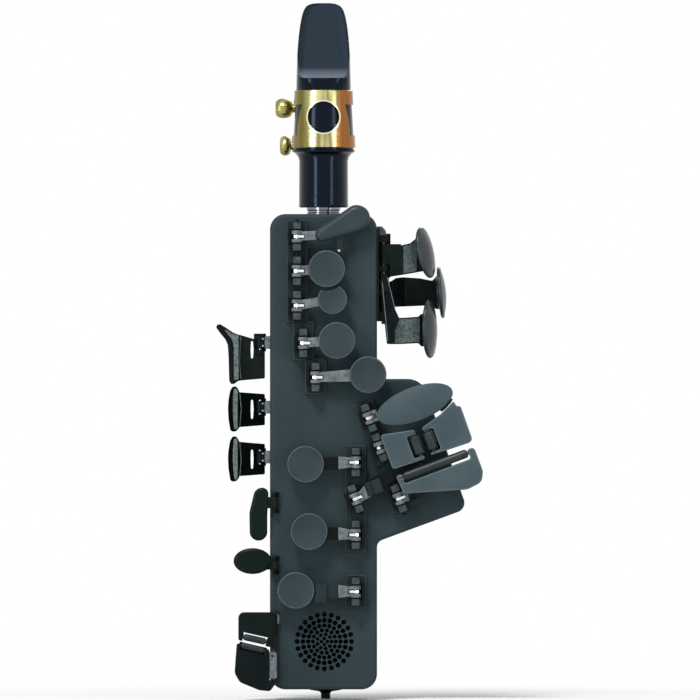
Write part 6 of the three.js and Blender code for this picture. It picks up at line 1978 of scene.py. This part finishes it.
SIDE_KEYS = {
    "side_e_key": {
        "height": side_key_heights[0],
        "arm": [(-0.7, 0.26), (-0.7, -1.2), (0.153, -1.125), (0.153, -0.235), (-0.16, -0.235), (-0.16, 0.1)],
        "slit": (-0.5, 0.04),
        "blade": hooked_blade_shares,
        "band": hooked_band_shares,
        "line": [(-0.6, 0.18), (-0.625, -0.1), (-0.635, -0.6), (-0.6, -1.14)],
    },
    "side_c_key": {
        "height": side_key_heights[1],
        "arm": [(-0.7, 0.47), (-0.7, -0.63), (0.153, -0.5625), (0.153, 0.41)],
        "slit": plain_slit_shares,
        "blade": plain_blade_shares,
        "band": plain_band_shares,
        "line": plain_line_shares,
    },
    "side_b_flat_key": {
        "height": side_key_heights[2],
        "arm": [(-0.7, 0.48), (-0.7, -0.6), (0.153, -0.54), (0.153, 0.41)],
        "slit": plain_slit_shares,
        "blade": plain_blade_shares,
        "band": plain_band_shares,
        "line": plain_line_shares,
    },
}


def side_outline(shares, radius):
    return ordered(rounded([(x * side_reach, y * side_span, radius) for x, y in shares], 5))


def side_slit(key):
    """The slot in a side key's arm, bowed at both of its upright edges."""
    low, high = (share * side_span for share in key["slit"])
    middle = (low + high) / 2
    left, right = (share * side_reach for share in slit_shares)
    inner, far = right - slit_bow, left - slit_bow * 0.6
    corners = [(left, low), (inner, low), (right, middle), (inner, high), (left, high), (far, middle)]
    outline = rounded([(x, y, 1.5 if y == middle else 0.5) for x, y in corners], 4)
    return slab(outline, -side_reach, side_reach, 0)


def add_side_key(name, key):
    place = at(PANEL, side_pivot_x, key["height"], side_pivot_z)
    hooked = name == "side_e_key"
    arm = slab(side_outline(key["arm"], 0.6), -side_arm_half, side_arm_half, eased)
    reach = tab_half + gap
    notch = block(-side_notch - gap, side_reach, -reach, reach, -side_reach, side_reach, 0)
    outline = side_outline(key["blade"], 0.9)
    path = [(x * side_reach, z * side_reach) for x, z in side_blade_shares]
    wide = strap(path, side_blade_thickness, -2 * side_span, 2 * side_span, side_bend, 0)
    parts = [cut(arm, side_slit(key), notch), shared(wide, slab(outline, -2 * side_reach, side_reach, 0))]
    for way in (-1,) if hooked else (-1, 1):
        parts.append(rod_y(side_knuckle_radius, 0, 0, *sorted((way * reach, way * side_knuckle_reach))))
    if hooked:
        parts.append(cut(slab(outline, *(share * side_reach for share in hook_depth_shares), 0), notch))
    mesh = bored(join(*parts), 2 * side_knuckle_reach)
    # The C and B flat blades take the darker deep black as painted shade, so their faces turned to the left
    # lamp stay as dark as the E blade
    piece(name + "_blade", mesh, name, "black" if hooked else "deep_black", place)
    low, high = (share * side_reach for share in side_band_shares)
    band = slab(side_outline(key["band"], 0.7), low, high, 0.2, 0.5)
    more(name + "_band", band, name, "grain", place)
    # A thin lighter line along the blade's edge, a painted highlight
    line = [(x * side_reach, y * side_span, side_arm_half + side_line_rise) for x, y in key["line"]]
    more(name + "_line", tube(line, side_line_radius), name, "lever", place)


def frame_pieces(centre):
    """A tab, the dark ends and the bright pins at one side key of the frame."""
    half, skirt = tab_half, tab_half + skirt_margin
    inner, rivet = (tab_half * share for share in frame_end_shares)
    low, high = side_pivot_z - tab_thickness / 2, side_pivot_z + tab_thickness / 2
    near = side_pivot_x + tab_start
    reach = side_span * frame_pin_share
    above = half if centre == side_key_heights[0] else reach
    tab = block(near, frame_inside + keen, centre - half, centre + half, low, high, 0.6)
    ends = [
        block(side_pivot_x, near + 0.2, centre - inner, centre + inner, low + 0.3, high - 0.8, eased),
        rod_y(frame_knuckle_radius, side_pivot_x, side_pivot_z, centre - half, centre + half),
        block(side_pivot_x - 2.8, near + 0.6, centre - skirt, centre + skirt, low - 0.6, low + 0.1),
    ]
    pins = [rod_y(rod_radius, side_pivot_x, side_pivot_z, centre - reach, centre + above)]
    for y in (centre - rivet, centre + rivet):
        pins.append(rod_z(frame_rivet_radius, side_pivot_x + 1.3, y, side_pivot_z, high))
    return [tab], ends, pins


def add_key_frame():
    """The frame inside the left wall, its tabs out to the side keys and its posts up to the trill keys."""
    front = face - wall - gap
    foot, head = trill_posts("high_f_sharp_key")[0][0], side_key_heights[0] + tab_half
    strip = block(frame_inside, frame_inside + strip_thickness, foot, head, front - strip_depth, front, eased)
    tabs, ends, pins = [strip], [], []
    for centre in side_key_heights:
        for group, found in zip((tabs, ends, pins), frame_pieces(centre)):
            group += found
    for name in trill_keys:
        spans = trill_posts(name)
        ends.append(rod_y(rod_radius, trill_x, face + trill_height, spans[0][0], spans[1][1]))
        for a, b in spans:
            ends.append(block(*trill_stem, a, b, front - 5, face + trill_post_top))
            ends.append(block(trill_x - 1.3, trill_stem[1], a, b, face + gap, face + trill_post_top, eased))
    piece("left_key_frame_tabs", merged(*tabs), "left_key_frame", "lever")
    more("left_key_frame_ends", merged(*ends), "left_key_frame", "black")
    more("left_key_frame_pins", merged(*pins), "left_key_frame", "steel")


for side_name, side_key in SIDE_KEYS.items():
    add_side_key(side_name, side_key)
add_key_frame()

# Trill touches at the left edge

fork_pad_reach = 17
fork_pad_shares = [
    (-0.15, 0.397, 0.21), (-0.51, 0.397, 0.23), (-0.668, -0.25, 0.5), (-0.658, -1.006, 0.24),
    (-0.192, -1.006, 0.24), (-0.192, -0.33, 0.1),
]
fork_arm_share = 0.33
oval_centre = (-body_width * 0.2063, body_height * 0.0086)
oval_size = (8.55, 5.85)
pad_below, pad_above = 1.3, 1.9
pad_rims = (0.8, 1.35)
trill_hub_radius = 1.4


def add_trill_key(name, outline, reach):
    centre, length = trill_keys[name]
    half = length / 2 - 0.05
    pad = slab(outline, -pad_below, pad_above, *pad_rims, 8, fine)
    mesh = bored(join(hub(length, trill_hub_radius), block(reach, 0, -half, half, -1, 1, crisp), pad), length)
    piece(name + "_pad", mesh, name, "trill", at(PANEL, trill_x, centre, face + trill_height))


def add_trill_keys():
    corners = [tuple(share * fork_pad_reach for share in shares) for shares in fork_pad_shares]
    add_trill_key("fork_f_sharp_key", ordered(rounded(corners, 12)), -fork_arm_share * fork_pad_reach)
    add_trill_key("high_f_sharp_key", ellipse(*oval_centre, *oval_size), oval_centre[0])


add_trill_keys()

# Little finger keys of the right hand

pinky_x = -body_width * 0.469
pinky_height = 3.2
pinky_reach = body_height * 0.0813
pinky_roller = (1.5, pinky_reach * 0.5977)
pinky_roller_height = 2.4
pinky_hub_radius = 1.9
pinky_low, pinky_high = 1.4, 3.6
pinky_post_shares = [(0.0145, 0.0215), (0.0822, 0.1155), (0.1583, 0.167)]
pinky_knob_shares = (0.137, 0.1583)
pinky_post_half = 1.2
pinky_base = (pinky_x - 1.4, pinky_x + 2.6)
pinky_end_room, pinky_room = 0.4, 0.5
stop_reach, stop_sink, stop_band = 0.6, 0.28, (1.2, 3.2)
pinky_collar = 0.33
tray_wall, tray_floor, tray_end, tray_rise = 0.7, 0.6, 0.2, 0.4
strip_band, strip_width = (0.2, 2.6), (-2.7, 1.7)
strip_hole = 0.55
PINKY_KEYS = {
    "e_flat_key": {
        "roller": "pinky_roller_upper",
        "hub": (0.1379, pinky_reach * 0.46),
        "corners": [(-0.902, 0.31, 2.6), (-0.902, -0.414, 0.9), (0.034, -0.62, 0.9), (0.034, 0.31, 0.9)],
        "place": (-0.477, -0.391, -12.5),
        "opens": -1,
    },
    "low_c_key": {
        "roller": "pinky_roller_lower",
        "hub": (0.0509, pinky_reach * 0.678),
        "corners": [
            (-0.943, 0.586, 1), (-1, -0.19, 4), (-0.868, -0.43, 4), (-0.362, -0.638, 4), (-0.08, -0.667, 1.8),
            (0.07, -0.46, 1), (-0.098, -0.37, 0.9), (-0.098, 0.414, 0.9),
        ],
        "place": (-0.529, 0.454, -13.3),
        "opens": 1,
    },
}


def add_pinky_bracket():
    posts = [(body_height * a, body_height * b) for a, b in pinky_post_shares]
    low, high = posts[0][0], posts[-1][1]
    x0, x1 = pinky_x - pinky_post_half, pinky_x + pinky_post_half
    parts = [block(*pinky_base, low, high, 0, 1, crisp)]
    parts += [block(x0, x1, a, b, 0.8, pinky_height + 1.1, eased) for a, b in posts]
    piece("pinky_bracket_base", merged(*parts), "pinky_bracket", "base", FACE)
    pin = rod_y(rod_radius, pinky_x, pinky_height, low + keen, high - keen)
    more("pinky_bracket_pin", pin, "pinky_bracket", "dark_steel", FACE)
    ends = (body_height * share for share in pinky_knob_shares)
    knob = rod_y(1, pinky_x + 1.8, pinky_roller_height, *ends, 32, 0.6)
    more("pinky_bracket_knob", knob, "pinky_bracket", "lever", FACE)


def pinky_axle(half):
    reach = half + axle_end
    bright = [rod_y(axle_radius, 0, pinky_roller_height, -reach, reach, pin_sides, 0.05)]
    for span in both_sides(half - pinky_collar, half):
        bright.append(rod_y(collar_radius, 0, pinky_roller_height, *span, pin_sides, keen))
    return merged(*bright)


def pinky_stops(shut, half):
    spans = both_sides(half - stop_sink, half + stop_reach)
    return merged(*(block(-shut, shut - eased, *span, *stop_band, 0.15) for span in spans))


def pinky_strip(length):
    strip = block(*strip_width, -length / 2, length / 2, *strip_band, 0.4)
    hole = rod_z(strip_hole, -0.4, length / 2 - 1.6, 0, 4, 24, 0.02)
    return bored(cut(strip, hole), length)


def pinky_tray(shut, half):
    beyond = half + tray_wall
    outer = block(-shut - 0.9, shut - 0.5, -beyond, beyond, 0, pinky_low + tray_rise, fine)
    inner = block(-shut - tray_end, shut + overrun, -half, half, tray_floor, pinky_high, 0)
    return cut(outer, inner)


def add_pinky_key(name, key):
    hub_share, length = key["hub"]
    place = at(FACE, pinky_x, body_height * hub_share, pinky_height)
    x, y, tilt = key["place"]
    x, y, turn = x * pinky_reach, y * pinky_reach, math.radians(tilt + 90)
    radius, roller_length = pinky_roller
    half = roller_length / 2 + pinky_end_room
    shut = radius + pinky_room
    ends = (-shut, pinky_reach) if key["opens"] > 0 else (-pinky_reach, shut)
    along = Matrix.Translation((x, y, 0)) @ Matrix.Rotation(turn, 4, "Z")
    notch = moved(block(*ends, -half, half, -pinky_high, 2 * pinky_high, 0), along)
    outline = ordered(rounded([(a * pinky_reach, b * pinky_reach, r) for a, b, r in key["corners"]], 7))
    plate = cut(slab(outline, pinky_low, pinky_high, 0.5, 0.6, 5), notch)
    mesh = bored(join(hub(length, pinky_hub_radius), plate), length)
    piece(name + "_plate", mesh, name, "black", place)
    more(name + "_axle", moved(pinky_axle(half), along), name, "dark_steel", place)
    if name == "e_flat_key":
        more(name + "_stops", moved(pinky_stops(shut, half), along), name, "black", place)
    else:
        more(name + "_strip", pinky_strip(length), name, "lever", place)
        more(name + "_tray", moved(pinky_tray(shut, half), along), name, "black", place)
    roller(key["roller"], radius, roller_length, at(place, x, y, pinky_roller_height, turn))


add_pinky_bracket()
for pinky_name, pinky_key in PINKY_KEYS.items():
    add_pinky_key(pinky_name, pinky_key)

# Foot of the case: the drain spout and the socket

drain_bore, drain_radius, drain_flange = 0.9, 2.1, 7.5
drain_foot, drain_top, drain_tube_top = -4.5, 7.8, 11.8
drain_slope = [(2.9, -1.2), (6.9, -0.55), (7.4, -0.35)]
usb_lip, usb_depth, usb_flange, usb_tongue = 0.35, 8, 0.8, 1.4
button_shape = [(0, 0.6), (1.6, 0.62), (2.3, 0.9), (2.75, 0.85), (button_radius, 0.6)]
button_flange = 4.2


def add_drain():
    tube_radius = drain_radius - sharp
    profile = [
        (drain_bore, drain_foot), (drain_radius - crisp, drain_foot), (drain_radius, drain_foot + eased),
        (drain_radius, -1.9), *drain_slope, (drain_flange, -0.06), (drain_inside, -0.06),
        (drain_inside, drain_top), (tube_radius, drain_top), (tube_radius, drain_tube_top),
        (drain_bore, drain_tube_top),
    ]
    place = at(PANEL, drain_centre, 0, 0)
    piece("drain_spout_turned", along_y(revolve(profile)), "drain_spout", "black", place)


def add_usb():
    wide, high = usb_half_width, usb_half_height
    around = box_outline(-wide, wide, -high, high, high, 8)
    shell = slab(around, 0, usb_depth, keen)
    mouth = slab(inset(around, usb_lip), -overrun, usb_depth - usb_lip, 0)
    wider, higher = wide + usb_flange, high + usb_flange
    back = block(-wider, wider, -higher, higher, wall + gap, usb_depth)
    tongue = wide - usb_tongue
    tongue = block(-tongue, tongue, -usb_lip, usb_lip, 1, usb_depth - 1, keen)
    turn = Matrix.Translation((usb_x, 0, usb_z)) @ Matrix.Rotation(-math.pi / 2, 4, "X")
    piece("usb_socket_shell", moved(cut(join(shell, back), mouth), turn), "usb_socket", "steel")
    more("usb_socket_tongue", moved(tongue, turn), "usb_socket", "inside")


def add_button():
    back = -face + wall + gap
    profile = [(radius, -face - rise) for radius, rise in button_shape]
    profile += [(button_radius, back), (button_flange, back), (button_flange, back + 1), (0, back + 1)]
    place = at(PANEL, button_x, button_y, 0)
    piece("power_button_cap", revolve(profile), "power_button", "lever", place)


add_drain()
add_usb()
add_button()

# Back of the case

rest_hinge = body_height * 0.951
rest_hinge_height = 4.6
rest_thickness = 1.4
rest_shares = (0.79, 0.972)
rest_disc_share = 0.826
rest_half_width = 9.5
rest_post = (4.6, 7.2)
rest_post_top = 6.6
rest_disc = (8, 2.6)
octave_path_shares = [(0, 0), (-0.34, 0.07), (-0.62, 0.12)]
octave_half_width = 7.4
octave_pad = 2.3
octave_arm_half = 3.6
octave_hub = (2.2, 4.3)
mount_thickness = 1.6
hook_plate = (-15, 13)
hook_screws = (-12, 10)
hook_thickness = 2.6
ring_base = (5, 11)
octave_reach = body_height * 0.0822
octave_half = body_height * 0.0327
hook_centre = body_height * 0.36
hook_reach = 21
hook_half = 7
hook_path_shares = [(0.14, 0.04), (0.3, 0.42), (0.2, 0.78), (-0.12, 0.96), (-0.45, 1)]
ring_height = body_height * 0.7
ring_wire = 1.5
ring_eye = 4.5
ring_stand_off = mount_thickness + ring_eye + 2 * ring_wire - 0.8


def smooth_path(points):
    """A curve through points, as a list of places."""
    points = [Vector(point) for point in points]
    padded = [2 * points[0] - points[1], *points, 2 * points[-1] - points[-2]]
    curve = []
    for p0, p1, p2, p3 in zip(padded, padded[1:], padded[2:], padded[3:]):
        for t in (step / curve_steps for step in range(curve_steps)):
            bent = (2 * p0 - 5 * p1 + 4 * p2 - p3) * t ** 2 + (3 * p1 - 3 * p2 + p3 - p0) * t ** 3
            curve.append((2 * p1 + (p2 - p0) * t + bent) / 2)
    return [*curve, points[-1]]


def back_plate(half_width, low, high, thickness, corner=3, margin=fine):
    outline = box_outline(-half_width, half_width, low, high, corner, 10 if corner > 3 else corner_steps)
    return slab(outline, 0, thickness, 0, 0.5, 5, margin)


def add_thumb_rest():
    low, high = (body_height * share for share in rest_shares)
    parts = [back_plate(rest_half_width, low, high, rest_thickness)]
    y0, y1 = rest_hinge - 2, rest_hinge + 2
    foot = rest_thickness - keen
    parts += [block(*span, y0, y1, foot, rest_post_top, soft) for span in both_sides(*rest_post)]
    piece("thumb_rest_base", merged(*parts), "thumb_rest", "black", BACK)
    disc = shifted(touch_disc(*rest_disc), 0, body_height * rest_disc_share, rest_thickness - 0.05)
    more("thumb_rest_disc", disc, "thumb_rest", "touch", BACK)
    reach = rest_post[1] - keen
    pin = rod_x(rod_radius, rest_hinge, rest_hinge_height, -reach, reach)
    more("thumb_rest_pin", pin, "thumb_rest", "dark_steel", BACK)


def add_octave_key():
    path = [(y * octave_reach, z * octave_reach) for y, z in octave_path_shares]
    low, high = -octave_reach, -octave_reach + octave_half * 1.5
    outline = box_outline(-octave_half_width, octave_half_width, low, high, octave_half / 2, 10)
    lift = path[2][1] - 1
    pad = slab(outline, lift, lift + octave_pad, 0.5, 0.8, 6, fine)
    radius, half = octave_hub
    mesh = join(rod_x(radius, 0, 0, -half, half), strap_across(path, 2, octave_arm_half, 2), pad)
    mesh = cut(mesh, rod_x(rod_radius + bore_clearance, 0, 0, -body_width, body_width, pin_sides, sharp))
    place = at(BACK, 0, rest_hinge, rest_hinge_height)
    piece("octave_key_pad", mesh, "octave_key", "black", place)


def add_thumb_hook():
    low, high = (hook_centre + rise for rise in hook_plate)
    path = smooth_path([(hook_centre + y * hook_reach, z * hook_reach) for y, z in hook_path_shares])
    arm = strap_across(path, hook_thickness, hook_half, 0.3, 0.7)
    mesh = join(back_plate(hook_half, low, high, mount_thickness), arm)
    mesh = cut(mesh, block(-body_width, body_width, 0, body_height, -hook_reach, 0, 0))
    piece("thumb_hook_plate", mesh, "thumb_hook", "black", BACK)
    low, high = mount_thickness - keen, mount_thickness + 0.5
    screws = [rod_z(1.5, 0, hook_centre + rise, low, high, 32, crisp) for rise in hook_screws]
    more("thumb_hook_screws", merged(*screws), "thumb_hook", "dark_steel", BACK)


def torus(radius, wire):
    """A ring about x."""
    vertices = []
    for step in range(torus_steps):
        around = 2 * math.pi * step / torus_steps
        for index in range(torus_sides):
            angle = 2 * math.pi * index / torus_sides
            reach = radius + wire * math.cos(angle)
            vertices.append((wire * math.sin(angle), reach * math.cos(around), reach * math.sin(around)))
    return mesh_of(vertices, turned_over(sides_of(torus_steps, torus_sides, wrapped=True)))


def add_strap_ring():
    half_width, half_height = ring_base
    low, high = ring_height - half_height, ring_height + half_height
    base = back_plate(half_width, low, high, mount_thickness, half_width, 0)
    loop = shifted(torus(ring_eye + ring_wire, ring_wire), 0, ring_height, ring_stand_off)
    mesh = cut(join(base, loop), block(-body_width, body_width, 0, body_height, -body_depth, 0, 0))
    piece("strap_ring_loop", mesh, "strap_ring", "nickel", BACK)


add_thumb_rest()
add_octave_key()
add_thumb_hook()
add_strap_ring()

# Inner pieces stay as they are and take a finish

KEPT_NODES = {
    "air_tube": "inside",
    "breath_sensor": "steel",
    "main_board": "board",
    "speaker_driver": "inside",
    "battery": "cell",
}
for node, finish in KEPT_NODES.items():
    data = frame["nodes"][node].data
    data.materials.clear()
    data.materials.append(FINISHES[finish])
